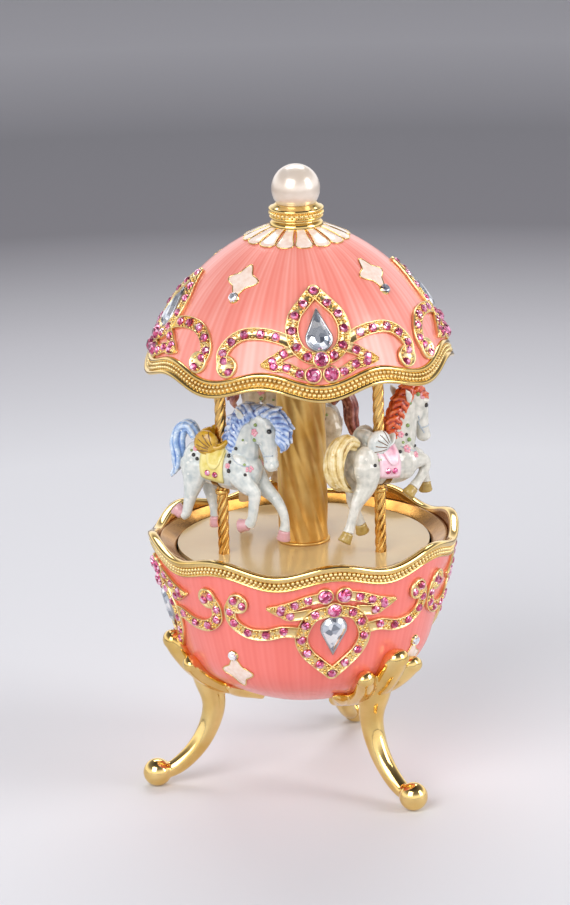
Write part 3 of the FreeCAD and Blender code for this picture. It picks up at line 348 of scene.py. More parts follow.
# %% Camera
TARGET = Vector((-4.15, 0.81, 85.65)) * MM
EYE = Vector((-207.46, -1045.1, 393.0)) * MM
CAMERA_ROLL = math.radians(-1.39)
camera_data = bpy.data.cameras.new("camera")
camera_data.sensor_fit = "AUTO"
camera_data.sensor_width = 36.0
camera_data.lens = 174.5
camera_data.clip_start = 0.05
camera_data.clip_end = 50.0
camera = bpy.data.objects.new("camera", camera_data)
scene.collection.objects.link(camera)
camera.rotation_mode = "QUATERNION"
look = (TARGET - EYE).to_track_quat("-Z", "Y").to_matrix().to_4x4()
camera.matrix_world = Matrix.Translation(EYE) @ look @ Matrix.Rotation(CAMERA_ROLL, 4, "Z")
scene.camera = camera
scene.view_settings.view_transform = "Standard"
scene.view_settings.look = "None"
print("camera distance", round((TARGET - EYE).length, 3), "m")

# %% Lights
LIT_SPOT = Vector((0, 0, 80.0)) * MM
TENT_STRENGTH = 1.5


def soft_light(name, place, size, power):
    data = bpy.data.lights.new(name, "AREA")
    data.shape = "RECTANGLE"
    data.size, data.size_y = size
    data.energy = power
    lamp = bpy.data.objects.new(name, data)
    scene.collection.objects.link(lamp)
    aim = (LIT_SPOT - Vector(place)).to_track_quat("-Z", "Y").to_matrix().to_4x4()
    lamp.matrix_world = Matrix.Translation(place) @ aim


soft_light("key_light", place=(-0.75, -0.85, 0.85), size=(0.9, 0.9), power=12.0)
soft_light("fill_light", place=(0.95, -0.55, 0.6), size=(0.5, 0.8), power=7.0)
soft_light("back_light", place=(0.15, 0.8, 1.05), size=(0.9, 0.5), power=6.0)
world = bpy.data.worlds.new("studio tent")
scene.world = world
world.use_nodes = True
tent = world.node_tree
tent.nodes.clear()
direction = add(tent, "ShaderNodeTexCoord")
height = add(tent, "ShaderNodeSeparateXYZ", links={"Vector": direction.outputs["Generated"]})
tent_stops = [(0.0, "#DADADE"), (0.25, "#F4F4F6"), (0.55, "#7A797E"), (1.0, "#36353A")]
tent_tone = add(tent, "ShaderNodeValToRGB", links={"Fac": height.outputs["Z"]}, stops=tent_stops)
tent_light = add(tent, "ShaderNodeBackground", {"Strength": TENT_STRENGTH},
                 {"Color": tent_tone.outputs["Color"]})
add(tent, "ShaderNodeOutputWorld", links={"Surface": tent_light.outputs["Background"]})
print("lights:", len(bpy.data.lights), "inside a", world.name)

# %% Floor
FLOOR_SIDES = 96
FLOOR_RINGS = (0.0, 200.0, 800.0, 4000.0)
floor_rings = [[polar(r, 360.0 * k / FLOOR_SIDES, 0.0) for k in range(FLOOR_SIDES)] for r in FLOOR_RINGS]
floor = bpy.data.objects.new("floor", mesh_of("floor", [loft(floor_rings)]))
scene.collection.objects.link(floor)
# Matt paper sweep with a painted pool of light: nearly white under the lamps, and painted grey where it runs
# out of their reach.
light_pool_stops = [(0.0, "#DEDEE2"), (0.3, "#D6D6DA"), (0.45, "#B6B5BA"), (0.62, "#706E74"), (0.8, "#6E6D73"),
               (1.0, "#96959B")]
paper, tree, shader, place = finish("pale paper sweep", light_pool_stops[0][1], 0.6, Specular_IOR_Level=0.2)
reach = add(tree, "ShaderNodeVectorMath", links={0: place}, operation="LENGTH")
light_pool_tone = add(tree, "ShaderNodeValToRGB", links={"Fac": reach.outputs["Value"]}, stops=light_pool_stops)
tree.links.new(light_pool_tone.outputs["Color"], shader.inputs["Base Color"])
floor.data.materials.append(paper)
print("floor radius", FLOOR_RINGS[-1] * MM, "m")

# %% [markdown]
# ## Finishes
# The shells are cast metal under coloured glass enamel, and the enamel shows an engraved pattern of
# rays underneath it. The trim is gold plate, polished where it is smooth. The stones are foil-backed
# glass, so they throw light back as a mirror does, and patches of painted reflection lie in their colour.
# Each finish starts from the Principled shader and from the real material's own numbers, and a pattern's
# scale comes from a size in millimetres.

# %% Helpers for finishes
def per_mm(size):
    """The texture scale at which a pattern repeats about every so many millimetres."""
    return 1.0 / (size * MM)


def mottled(tree, place, size, stops):
    """Cloudy colour between stops, with clouds of a size in millimetres."""
    clouds = add(tree, "ShaderNodeTexNoise", {"Scale": per_mm(size), "Detail": 3.0}, {"Vector": place})
    tones = add(tree, "ShaderNodeValToRGB", links={"Fac": clouds.outputs["Fac"]}, stops=stops)
    return tones.outputs["Color"]


def dented(tree, place, size, depth):
    """A normal for a surface with soft dents of a size and a depth in millimetres."""
    dents = add(tree, "ShaderNodeTexNoise", {"Scale": per_mm(size), "Detail": 2.0}, {"Vector": place})
    bump = add(tree, "ShaderNodeBump", {"Strength": 1.0, "Distance": depth * MM},
               {"Height": dents.outputs["Fac"]})
    return bump.outputs["Normal"]


print("texture scale of a 2 mm pattern:", round(per_mm(2.0)))

# %% Gold plate
# Gold plate over a zinc casting: a pale yellow mirror with slight ripples from the mould and a
# little haze where it has been handled. Clouds of a browner tone lie on it at random.
TARNISH_CLOUD = 7.0
HAZE_CLOUD = 3.0
CLEAREST = 0.7
HAZIEST = 1.5


def gold(name, bright, deep, roughness, ripple, ripple_size=2.5):
    material, tree, shader, place = finish(name, bright, roughness, metallic=1.0)
    tarnish = mottled(tree, place, TARNISH_CLOUD, [(0.3, deep), (0.65, bright)])
    tree.links.new(tarnish, shader.inputs["Base Color"])
    haze = add(tree, "ShaderNodeTexNoise", {"Scale": per_mm(HAZE_CLOUD), "Detail": 4.0}, {"Vector": place})
    spread = add(tree, "ShaderNodeMapRange",
                 {"To Min": roughness * CLEAREST, "To Max": roughness * HAZIEST},
                 {"Value": haze.outputs["Fac"]})
    tree.links.new(spread.outputs["Result"], shader.inputs["Roughness"])
    tree.links.new(dented(tree, place, ripple_size, ripple), shader.inputs["Normal"])
    return material


POLISHED_GOLD = gold("gold plate, polished", "#F2D38E", "#E2BC6E", 0.1, 0.012)
SATIN_GOLD = gold("gold plate, satin", "#F1CA7E", "#E1AE58", 0.36, 0.02)
TWIST_GOLD = gold("gold plate, rope twist", "#F0C478", "#E2AC58", 0.22, 0.015)
CAST_GOLD = gold("gold plate, cast", "#F6E0A8", "#EACB8A", 0.28, 0.06, 0.8)
# The floor of the rim recess behind the beads gets a darker gold: painted shade, where the lip and the beads
# keep out the light.
RECESS_SHADE_GOLD = gold("gold plate, dark in the hollows", "#B98A44", "#8A6228", 0.35, 0.02)
# A darker, browner copy of the gold plate for the insides of the shells and the bezel: painted shade, with a
# painted warm reflection of the coral enamel.
SHADED_GOLD = gold("gold plate, in the mouth of the bowl", "#BA863E", "#8A5C22", 0.18, 0.02, 1.6)
golds = (POLISHED_GOLD, SATIN_GOLD, TWIST_GOLD, CAST_GOLD, RECESS_SHADE_GOLD, SHADED_GOLD)
print("golds:", [metal.name for metal in golds])

# %% Enamel over engraved rays
# Translucent coral enamel fired over metal that was engraved with fine rays: the rays shimmer under
# a smooth glassy coat.
ENAMEL_CLOUD = 16.0
RAY_DEPTH = 0.03
RAY_RELIEF = 0.5
RAY_SHARE = 0.6
CLOUD_SHARE = 0.5
WAVE_REACH = 2.6


def ray_enamel(name, deep, middle, pale, rays):
    material, tree, shader, place = finish(name, middle, 0.4, metallic=0.1, Coat_Weight=0.6,
                                           Coat_Roughness=0.16)
    axes = add(tree, "ShaderNodeSeparateXYZ", links={"Vector": place})
    angle = add(tree, "ShaderNodeMath", links={0: axes.outputs["X"], 1: axes.outputs["Y"]},
                operation="ARCTAN2")
    waves = []
    for count, phase in ((rays, 0.0), (rays * 2, 0.7), (rays / 3, 1.9)):
        turned_angle = add(tree, "ShaderNodeMath", {1: float(round(count)), 2: phase}, {0: angle.outputs[0]},
                           operation="MULTIPLY_ADD")
        wave = add(tree, "ShaderNodeMath", links={0: turned_angle.outputs[0]}, operation="SINE")
        waves.append(wave.outputs[0])
    pair = add(tree, "ShaderNodeMath", links={0: waves[0], 1: waves[1]}, operation="ADD")
    total = add(tree, "ShaderNodeMath", links={0: pair.outputs[0], 1: waves[2]}, operation="ADD")
    share = add(tree, "ShaderNodeMapRange", {"From Min": -WAVE_REACH, "From Max": WAVE_REACH},
                {"Value": total.outputs[0]})
    clouds = add(tree, "ShaderNodeTexNoise", {"Scale": per_mm(ENAMEL_CLOUD), "Detail": 3.0},
                 {"Vector": place})
    uneven = add(tree, "ShaderNodeMath", {1: CLOUD_SHARE}, {0: clouds.outputs["Fac"]}, operation="MULTIPLY")
    mixed = add(tree, "ShaderNodeMath", {1: RAY_SHARE},
                {0: share.outputs["Result"], 2: uneven.outputs[0]}, operation="MULTIPLY_ADD")
    tones = add(tree, "ShaderNodeValToRGB", links={"Fac": mixed.outputs[0]},
                stops=[(0.2, deep), (0.55, middle), (0.85, pale)])
    tree.links.new(tones.outputs["Color"], shader.inputs["Base Color"])
    engraved = add(tree, "ShaderNodeBump", {"Strength": RAY_RELIEF, "Distance": RAY_DEPTH * MM},
                   {"Height": share.outputs["Result"]})
    tree.links.new(engraved.outputs["Normal"], shader.inputs["Normal"])
    return material


DOME_ENAMEL = ray_enamel("coral enamel, dome", "#ED8173", "#F19183", "#F7A599", 60)
BOWL_ENAMEL = ray_enamel("coral enamel, bowl", "#EF7266", "#F2786C", "#F57F75", 72)
print("enamels over rays:", DOME_ENAMEL.name, "and", BOWL_ENAMEL.name)

# %% Plain enamels and pearl
# Opaque enamel and cold paint: brushed on by hand, so the colour clouds a little, and glossy.
BRUSH_RIPPLE = 1.5


def enamel(name, stops, size, roughness=0.18, ripple=0.01, **sockets):
    glaze = {"Coat_Weight": 0.6, "Coat_Roughness": 0.05, **sockets}
    material, tree, shader, place = finish(name, stops[-1][1], roughness, **glaze)
    tree.links.new(mottled(tree, place, size, stops), shader.inputs["Base Color"])
    tree.links.new(dented(tree, place, BRUSH_RIPPLE, ripple), shader.inputs["Normal"])
    return material


CREAM_ENAMEL = enamel("cream enamel", [(0.3, "#EBCDBB"), (0.55, "#F2DCCE"), (0.75, "#F6E6DC")], 1.2)
# Lacquer on a broad flat disc: even in colour and glossy, with a soft reflection of the posts.
TABLE_ENAMEL = enamel("cream lacquer, turntable", [(0.35, "#CEAF7C"), (0.65, "#D6BC8C")], 24.0, 0.16, 0.004,
                      Coat_Weight=0.1)
# Imitation pearl: a milky ball with a soft sheen over its whole face and a blurred highlight.
PEARL = enamel("pearl lacquer", [(0.35, "#D8C6B2"), (0.6, "#E4D6C8")], 9.0, 0.3, 0.004, metallic=0.2,
               Coat_Weight=1.0, Coat_IOR=1.9, Coat_Roughness=0.2)
print("pale finishes:", [glaze.name for glaze in (CREAM_ENAMEL, TABLE_ENAMEL, PEARL)])


# %% Foil-backed glass
# Cut glass over foil: the glass's own tint with painted reflections, in patches some bright and some nearly
# black, as facets throw back the studio.
def crystal(name, stops, size):
    material, tree, shader, place = finish(name, stops[1][1], 0.06, metallic=0.75, Coat_Weight=1.0,
                                           Coat_Roughness=0.02)
    chips = add(tree, "ShaderNodeTexVoronoi", {"Scale": per_mm(size)}, {"Vector": place})
    shade = add(tree, "ShaderNodeSeparateColor", links={"Color": chips.outputs["Color"]})
    tones = add(tree, "ShaderNodeValToRGB", links={"Fac": shade.outputs["Red"]}, stops=stops)
    tree.links.new(tones.outputs["Color"], shader.inputs["Base Color"])
    return material


pink_glass_and_glints = [(0.0, "#8E1846"), (0.45, "#D4487E"), (0.8, "#F29AC4"), (1.0, "#FFD9EA")]
clear_glass_and_glints = [(0.0, "#6E7684"), (0.3, "#C9D0DA"), (0.7, "#F1F4F8"), (1.0, "#FFFFFF")]
PINK_GLASS = crystal("pink foil-backed glass", pink_glass_and_glints, 0.75)
CLEAR_GLASS = crystal("clear foil-backed glass", clear_glass_and_glints, 1.6)
print("glass:", PINK_GLASS.name, "and", CLEAR_GLASS.name)

# %% Metals of the movement
# Machined brass and turned steel: fine tool marks blur what these metals mirror.
MACHINED_BRASS = gold("brass, machined", "#E0BC74", "#C79F55", 0.28, 0.01)
TURNED_STEEL = gold("steel, turned", "#C9CCD1", "#AEB2B8", 0.25, 0.01)
print("finishes so far:", len(bpy.data.materials))

# %% [markdown]
# ## Geometry Nodes for what repeats
# Beads, stones, petals and legs come in rows and rings, so each is modelled once and repeated by a
# small node tree. One tree sets copies on points that know which way they face and how big they are.
# Another repeats a piece round the axis of the egg. A third twists a fluted rod, as a lathe hand does
# with a rope moulding. Every tree ends in plain geometry with its material set.

# %% The start and the end of a tree
def new_tree(name, *inputs):
    tree = bpy.data.node_groups.new(name, "GeometryNodeTree")
    for label, kind in inputs:
        tree.interface.new_socket(label, in_out="INPUT", socket_type=kind)
    tree.interface.new_socket("Geometry", in_out="OUTPUT", socket_type="NodeSocketGeometry")
    return tree, add(tree, "NodeGroupInput").outputs


def close_tree(tree, instances, material):
    plain = add(tree, "GeometryNodeRealizeInstances", links={"Geometry": instances})
    dressed = add(tree, "GeometryNodeSetMaterial",
                  links={"Geometry": plain.outputs[0], "Material": material})
    add(tree, "NodeGroupOutput", links={"Geometry": dressed.outputs[0]})


print("node trees so far:", len(bpy.data.node_groups))

# %% A tree that sets copies on points
setting_tree, given = new_tree("set on points", ("Points", "NodeSocketGeometry"),
                               ("Piece", "NodeSocketObject"), ("Material", "NodeSocketMaterial"))
facing = add(setting_tree, "GeometryNodeInputNamedAttribute", {"Name": "facing"}, data_type="FLOAT_VECTOR")
girth = add(setting_tree, "GeometryNodeInputNamedAttribute", {"Name": "girth"}, data_type="FLOAT")
upright = add(setting_tree, "FunctionNodeAlignRotationToVector",
              links={"Vector": facing.outputs["Attribute"]}, axis="Z")
shape = add(setting_tree, "GeometryNodeObjectInfo", links={"Object": given["Piece"]})
copies = add(setting_tree, "GeometryNodeInstanceOnPoints",
             links={"Points": given["Points"], "Instance": shape.outputs["Geometry"],
                    "Rotation": upright.outputs["Rotation"], "Scale": girth.outputs["Attribute"]})
close_tree(setting_tree, copies.outputs["Instances"], given["Material"])
print("nodes to", setting_tree.name + ":", len(setting_tree.nodes))

# %% A tree that repeats a piece round the axis
ring_tree, given = new_tree("repeat round the axis", ("Piece", "NodeSocketGeometry"),
                            ("Copies", "NodeSocketInt"), ("First", "NodeSocketFloat"),
                            ("Material", "NodeSocketMaterial"))
stations = add(ring_tree, "GeometryNodeMeshLine", {"Offset": (0, 0, 0)}, {"Count": given["Copies"]})
step = add(ring_tree, "ShaderNodeMath", {0: 2 * math.pi}, {1: given["Copies"]}, operation="DIVIDE")
number = add(ring_tree, "GeometryNodeInputIndex")
turn = add(ring_tree, "ShaderNodeMath", links={0: number.outputs[0], 1: step.outputs[0], 2: given["First"]},
           operation="MULTIPLY_ADD")
spin = add(ring_tree, "ShaderNodeCombineXYZ", links={"Z": turn.outputs[0]})
copies = add(ring_tree, "GeometryNodeInstanceOnPoints",
             links={"Points": stations.outputs[0], "Instance": given["Piece"], "Rotation": spin.outputs[0]})
close_tree(ring_tree, copies.outputs["Instances"], given["Material"])
print("nodes to", ring_tree.name + ":", len(ring_tree.nodes))

# %% A tree that twists a fluted rod
ROD_STATIONS = 160
STRAND_POINTS = 10
rod_tree, given = new_tree("twisted rod", ("Stations", "NodeSocketGeometry"), ("Height", "NodeSocketFloat"),
                           ("Radius", "NodeSocketFloat"), ("Strands", "NodeSocketInt"),
                           ("Depth", "NodeSocketFloat"), ("Turns", "NodeSocketFloat"),
                           ("Material", "NodeSocketMaterial"))
tip = add(rod_tree, "ShaderNodeCombineXYZ", links={"Z": given["Height"]})
line = add(rod_tree, "GeometryNodeCurvePrimitiveLine", links={"End": tip.outputs[0]})
fine_line = add(rod_tree, "GeometryNodeResampleCurve", {"Count": ROD_STATIONS}, {"Curve": line.outputs[0]})
along = add(rod_tree, "GeometryNodeSplineParameter")
full_turns = add(rod_tree, "ShaderNodeMath", {1: 2 * math.pi}, {0: given["Turns"]}, operation="MULTIPLY")
tilt = add(rod_tree, "ShaderNodeMath", links={0: along.outputs["Factor"], 1: full_turns.outputs[0]},
           operation="MULTIPLY")
twisted = add(rod_tree, "GeometryNodeSetCurveTilt",
              links={"Curve": fine_line.outputs[0], "Tilt": tilt.outputs[0]})
rim_points = add(rod_tree, "ShaderNodeMath", {1: float(STRAND_POINTS)}, {0: given["Strands"]},
                 operation="MULTIPLY")
circle = add(rod_tree, "GeometryNodeCurvePrimitiveCircle",
             links={"Resolution": rim_points.outputs[0], "Radius": given["Radius"]})
number = add(rod_tree, "GeometryNodeInputIndex")
phase = add(rod_tree, "ShaderNodeMath", {1: math.pi / STRAND_POINTS}, {0: number.outputs[0]},
            operation="MULTIPLY")
bulge = add(rod_tree, "ShaderNodeMath", links={0: phase.outputs[0]}, operation="SINE")
swell = add(rod_tree, "ShaderNodeMath", links={0: bulge.outputs[0]}, operation="ABSOLUTE")
inward = add(rod_tree, "ShaderNodeMath", {1: -1.0}, {0: swell.outputs[0]}, operation="ADD")
flute = add(rod_tree, "ShaderNodeMath", {2: 1.0}, {0: inward.outputs[0], 1: given["Depth"]},
            operation="MULTIPLY_ADD")
corner = add(rod_tree, "GeometryNodeInputPosition")
drawn_in = add(rod_tree, "ShaderNodeVectorMath", links={0: corner.outputs[0], "Scale": flute.outputs[0]},
               operation="SCALE")
section = add(rod_tree, "GeometryNodeSetPosition",
              links={"Geometry": circle.outputs[0], "Position": drawn_in.outputs[0]})
rod = add(rod_tree, "GeometryNodeCurveToMesh", {"Fill Caps": True},
          {"Curve": twisted.outputs[0], "Profile Curve": section.outputs[0]})
copies = add(rod_tree, "GeometryNodeInstanceOnPoints",
             links={"Points": given["Stations"], "Instance": rod.outputs[0]})
close_tree(rod_tree, copies.outputs["Instances"], given["Material"])
print("nodes for a", rod_tree.name + ":", len(rod_tree.nodes))


# %% Running the trees
def grown(name, mesh, tree, **inputs):
    """Runs a node tree on a mesh and gives back the plain mesh it makes."""
    seed = bpy.data.objects.new(name, mesh)
    scene.collection.objects.link(seed)
    modifier = seed.modifiers.new(tree.name, "NODES")
    modifier.node_group = tree
    sockets = {item.name: item.identifier for item in tree.interface.items_tree if item.in_out == "INPUT"}
    for label, value in inputs.items():
        modifier[sockets[label]] = value
    return evaluated_mesh(seed)


def stations_for(name, spots):
    """A mesh of loose points that know their facing and their girth, from (point, normal, radius)."""
    mesh = bpy.data.meshes.new(name)
    mesh.from_pydata([tuple(point * MM) for point, normal, radius in spots], [], [])
    facing = mesh.attributes.new("facing", "FLOAT_VECTOR", "POINT")
    facing.data.foreach_set("vector", [c for point, normal, radius in spots for c in normal])
    girth = mesh.attributes.new("girth", "FLOAT", "POINT")
    girth.data.foreach_set("value", [radius for point, normal, radius in spots])
    return mesh


def set_on(name, spots, shape, material):
    """Copies of a bead or a stone on places given as (point, normal, radius)."""
    return grown(name, stations_for(name, spots), setting_tree, Piece=shape, Material=material)


def ring_piece(name, mesh, count, first, material, body, stands_for=()):
    """A finished piece made of copies of one mesh round the axis, the first of them at an azimuth."""
    ring = grown(name, mesh, ring_tree, Copies=count, First=math.radians(first), Material=material)
    return piece(name, ring, None, body, stands_for)


print("node trees:", [tree.name for tree in bpy.data.node_groups])

# %% A bead and a stone to copy
SMALL_CORNERS = 10


def template(name, shapes, smooth):
    """A piece of unit size, one millimetre in radius, for a tree to copy; it is hidden from renders."""
    obj = bpy.data.objects.new(name, mesh_of(name, shapes, smooth))
    scene.collection.objects.link(obj)
    obj.hide_render = True
    return obj


def rounded(rings, twist=0.0):
    """A capped loft round the z axis from (radius, z) pairs, each ring turned on by a share of a step."""
    spun = []
    for i, (r, z) in enumerate(rings):
        angles = [2 * math.pi * (k + i * twist) / SMALL_CORNERS for k in range(SMALL_CORNERS)]
        spun.append([Vector((r * math.cos(a), r * math.sin(a), z)) for a in angles])
    return loft(spun, caps=True)


bead_rings = [(0.9, -0.5), (1.0, 0.0), (0.8, 0.6), (0.35, 0.94)]
stone_rings = [(0.7, -0.5), (1.0, 0.0), (0.8, 0.36), (0.5, 0.55)]
BEAD = template("bead", [rounded(bead_rings)], smooth=True)
STONE = template("stone", [rounded(stone_rings, twist=0.5)], smooth=False)
print("faces of a bead and a stone:", len(BEAD.data.polygons), len(STONE.data.polygons))

# %% [markdown]
# ## The enamelled shells
# Each half of the egg is a thin shell with a waved mouth. It is lofted from columns that run up the
# outside and down the inside, and every column stops where the wave is at its azimuth, so the edge is
# cut exactly along the wave and hides under the gold rim.

# %% Bowl and dome shells
SHELL_COLUMNS = 256
LIP_COVER = 0.5
KNOB_HOLE = 9.0
KNOB_HOLE_LIP = 0.4
DOME_HOLE = 2.2
FLAT_BOTTOM = 4.0
FLAT_WALL = 1.2 * WALL
THINNEST = 0.02
BOTTOM_STEPS = 14
BOTTOM_CROWDING = 1.6
KNUCKLE_STEPS = 10
WALL_STEPS = 24
DOME_STEPS = 40


def shell_column(heights, radius_rule, azimuth):
    outside = [polar(radius_rule(z), azimuth, z) for z in heights]
    inside = [polar(max(radius_rule(z, WALL), THINNEST), azimuth, z) for z in reversed(heights)]
    return outside + inside


def bowl_heights(azimuth):
    hole_edge = BOWL_BOTTOM + BOTTOM_ARC - math.sqrt(BOTTOM_ARC ** 2 - (KNOB_HOLE + KNOB_HOLE_LIP) ** 2)
    top = BOWL_RIM - LIP_COVER + rim_wave(BOWL, azimuth)
    shares = [(k / BOTTOM_STEPS) ** BOTTOM_CROWDING for k in range(BOTTOM_STEPS)]
    low = [hole_edge + (KNUCKLE_LOW - hole_edge) * share for share in shares]
    knuckle = KNUCKLE_TOP - KNUCKLE_LOW
    middle = [KNUCKLE_LOW + knuckle * k / KNUCKLE_STEPS for k in range(KNUCKLE_STEPS)]
    high = [KNUCKLE_TOP + (top - KNUCKLE_TOP) * k / WALL_STEPS for k in range(WALL_STEPS + 1)]
    return low + middle + high


def dome_heights(azimuth):
    low = DOME_RIM + LIP_COVER + rim_wave(DOME, azimuth)
    first = math.asin((low - DOME_CENTRE) / DOME_ARC)
    last = math.acos((DOME_OFFSET + DOME_HOLE) / DOME_ARC)
    angles = [first + (last - first) * k / DOME_STEPS for k in range(DOME_STEPS + 1)]
    return [DOME_CENTRE + DOME_ARC * math.sin(angle) for angle in angles]


def bowl_inside(z, inset=0.0):
    """The bowl's rule, with a plain wall near the flat bottom, where an inset has no radius left."""
    if inset and z < BOWL_BOTTOM + FLAT_BOTTOM:
        return max(bowl_radius(z) - FLAT_WALL, KNOB_HOLE)
    return bowl_radius(z, inset)


def dome_inside(z, inset=0.0):
    """The dome's rule, with an inside that stops at the hole for the spindle."""
    return dome_radius(min(z, dome_height(DOME_HOLE, inset)), inset) if inset else dome_radius(z)


def gild_and_shade_inside(mesh, radius_rule):
    """Gives the inner faces of a shell a darker gold than that of its trim, as painted shade inside it."""
    mesh.materials.append(SHADED_GOLD)
    for face in mesh.polygons:
        centre = face.center / MM
        if math.hypot(centre.x, centre.y) < radius_rule(centre.z) - WALL / 2:
            face.material_index = 1


azimuths = [360.0 * k / SHELL_COLUMNS for k in range(SHELL_COLUMNS)]
bowl_columns = [shell_column(bowl_heights(a), bowl_inside, a) for a in azimuths]
bowl_mesh = mesh_of("bowl_enamel", [loft(bowl_columns, loop=True)])
piece("bowl_enamel", bowl_mesh, BOWL_ENAMEL, "base", ["bowl_shell"])
gild_and_shade_inside(bowl_mesh, bowl_radius)
dome_columns = [shell_column(dome_heights(a), dome_inside, a + DOME.rest) for a in azimuths]
dome_mesh = mesh_of("dome_enamel", [loft(dome_columns, loop=True)])
piece("dome_enamel", dome_mesh, DOME_ENAMEL, "carousel", ["dome_shell"])
gild_and_shade_inside(dome_mesh, dome_radius)
print("shell faces:", len(bowl_mesh.polygons), len(dome_mesh.polygons))

# %% [markdown]
# ## The waved rims
# A gold band follows the wave of each mouth. Its section has a rolled lip, a plain wire on the far
# edge and a recess between them for two rows of beads. The band is a loft whose section rides up and
# down with the wave, and the beads are set by nodes on points that ride the same wave.

# %% Rims and their beads
RIM_COLUMNS = 384
BEADS_IN_ROW = 208
BOWL_RECESS = (0.4, -1.85)
DOME_RECESS = (0.45, 1.3)
bowl_section = [(-1.3, -1.2), (-1.35, -0.6), (-1.1, -0.15), (-0.6, 0.0), (0.1, 0.0), (0.7, -0.2),
                (1.02, -0.7), (1.05, -1.2), (0.86, -1.6), (0.6, -1.78), BOWL_RECESS, (0.4, -3.65),
                (0.55, -3.75), (0.75, -3.9), (0.75, -4.1), (0.55, -4.3), (0.2, -4.35), (-0.4, -4.2),
                (-0.5, -1.6)]
dome_section = [(-1.0, 0.5), (-1.0, 0.25), (-0.6, 0.0), (0.2, 0.0), (0.8, 0.15), (1.05, 0.5),
                (1.02, 0.85), (0.75, 1.1), (0.5, 1.2), DOME_RECESS, (0.45, 3.2), (0.6, 3.35),
                (0.78, 3.5), (0.85, 3.75), (0.75, 4.05), (0.45, 4.3), (0.1, 4.35), (-0.4, 4.2),
                (-0.5, 1.2)]


def rim_point(shell, azimuth, offset, rise):
    z = shell.rim + rise + rim_wave(shell, azimuth)
    return polar(shell.radius(z) + offset, azimuth + shell.rest, z)


def rim_mesh(shell, section, recess):
    """The band of a rim, with darker gold, as painted shade, on the face of its section that starts at the
    recess.
    """
    turns = [360.0 * k / RIM_COLUMNS for k in range(RIM_COLUMNS)]
    rings = [[rim_point(shell, a, offset, rise) for offset, rise in section] for a in turns]
    mesh = mesh_of(shell.name + "_rim_band", [loft(rings, loop=True)])
    mesh.materials.append(POLISHED_GOLD)
    mesh.materials.append(RECESS_SHADE_GOLD)
    for polygon in mesh.polygons:
        polygon.material_index = int(polygon.index % len(section) == section.index(recess))
    return mesh


def bead_row(shell, offset, rise, radius, shift):
    """Places of one row of beads along the wave of a rim, moved on by a share of a bead's step."""
    spots = []
    for k in range(BEADS_IN_ROW):
        azimuth = 360.0 * (k + shift) / BEADS_IN_ROW
        outward = polar(1.0, azimuth + shell.rest, 0.0)
        spots.append((rim_point(shell, azimuth, offset, rise), outward, radius))
    return spots


bowl_band = rim_mesh(BOWL, bowl_section, BOWL_RECESS)
dome_band = rim_mesh(DOME, dome_section, DOME_RECESS)
piece("bowl_rim_band", bowl_band, None, "base", ["bowl_rim"])
piece("dome_rim_band", dome_band, None, "carousel", ["dome_rim"])
bowl_beads = bead_row(BOWL, offset=0.45, rise=-2.3, radius=0.52, shift=0.0)
bowl_beads += bead_row(BOWL, offset=0.42, rise=-3.2, radius=0.48, shift=0.5)
dome_beads = bead_row(DOME, offset=0.45, rise=1.78, radius=0.5, shift=0.0)
dome_beads += bead_row(DOME, offset=0.45, rise=2.75, radius=0.46, shift=0.5)
piece("bowl_rim_beads", set_on("bowl_beads", bowl_beads, BEAD, CAST_GOLD), None, "base")
piece("dome_rim_beads", set_on("dome_beads", dome_beads, BEAD, CAST_GOLD), None, "carousel")
print("beads:", len(bowl_beads) + len(dome_beads))

# %% [markdown]
# ## Medallions and stones
# Four gold medallions sit on each half: a pear-shaped frame round a clear stone, a pointed leaf on
# each side and a scroll that runs out to the next medallion. Each line is a shallow channel with
# raised edges, and pink stones sit in it between small gold grains. One medallion is lofted along its
# lines on the shell and then repeated round the axis.

# %% Lines of a medallion
Medallion = namedtuple("Medallion", "frame arm wing keel ends large pear star star_stone point_up")
dome_lines = Medallion(
    frame=[(0.0, 23.0), (2.9, 20.5), (5.3, 18.1), (6.4, 14.9), (5.6, 11.4), (3.2, 9.3), (0.0, 8.5)],
    arm=[(6.6, 12.4), (10.4, 13.6), (14.1, 14.1), (18.4, 13.7), (22.0, 11.9), (24.6, 9.2), (24.8, 6.8)],
    wing=[(5.8, 11.0), (8.9, 9.9), (11.8, 8.2), (14.8, 7.2)],
    keel=[(1.6, 4.6), (5.4, 5.5), (8.5, 6.9), (11.6, 7.1), (14.8, 7.1)],
    ends=[(24.4, 7.5), (23.2, 5.1)], large=[(0.0, 8.5), (2.2, 5.1), (-2.2, 5.1)],
    pear=13.1, star=24.7, star_stone=21.1, point_up=True)
bowl_lines = Medallion(
    frame=[(0.0, -28.6), (3.1, -25.8), (6.3, -22.5), (7.9, -18.7), (7.0, -14.6), (4.7, -11.7),
           (0.0, -10.6)],
    arm=[(8.0, -16.6), (12.3, -16.3), (16.7, -17.5), (21.4, -17.3), (25.2, -15.0), (26.4, -12.0),
         (25.8, -9.6)],
    wing=[(5.4, -11.0), (10.8, -11.9), (13.2, -10.8), (16.8, -9.9)],
    keel=[(1.8, -6.6), (6.5, -7.6), (9.8, -8.9), (13.0, -10.0), (16.8, -9.9)],
    ends=[(23.1, -10.0), (25.6, -8.8)], large=[(0.0, -10.6), (2.4, -6.7), (-2.4, -6.7)],
    pear=-15.8, star=-29.8, star_stone=-25.0, point_up=False)
halves = ((DOME, dome_lines), (BOWL, bowl_lines))
print("large stones in a medallion:", [len(lines.large) for shell, lines in halves])

# %% Channels and saucers of gold
CHANNEL = [(-1.0, -0.2), (-1.0, 0.7), (-0.96, 0.92), (-0.89, 1.0), (-0.81, 0.9), (-0.76, 0.66), (0.0, 0.6),
           (0.76, 0.66), (0.81, 0.9), (0.89, 1.0), (0.96, 0.92), (1.0, 0.7), (1.0, -0.2)]
SAUCER = [(1.0, -0.2), (1.0, 0.7), (0.94, 1.0), (0.84, 1.02), (0.78, 0.7)]
SAUCER_CORNERS = 24
GOLD_HEIGHT = 0.95
TAPER = 4.0


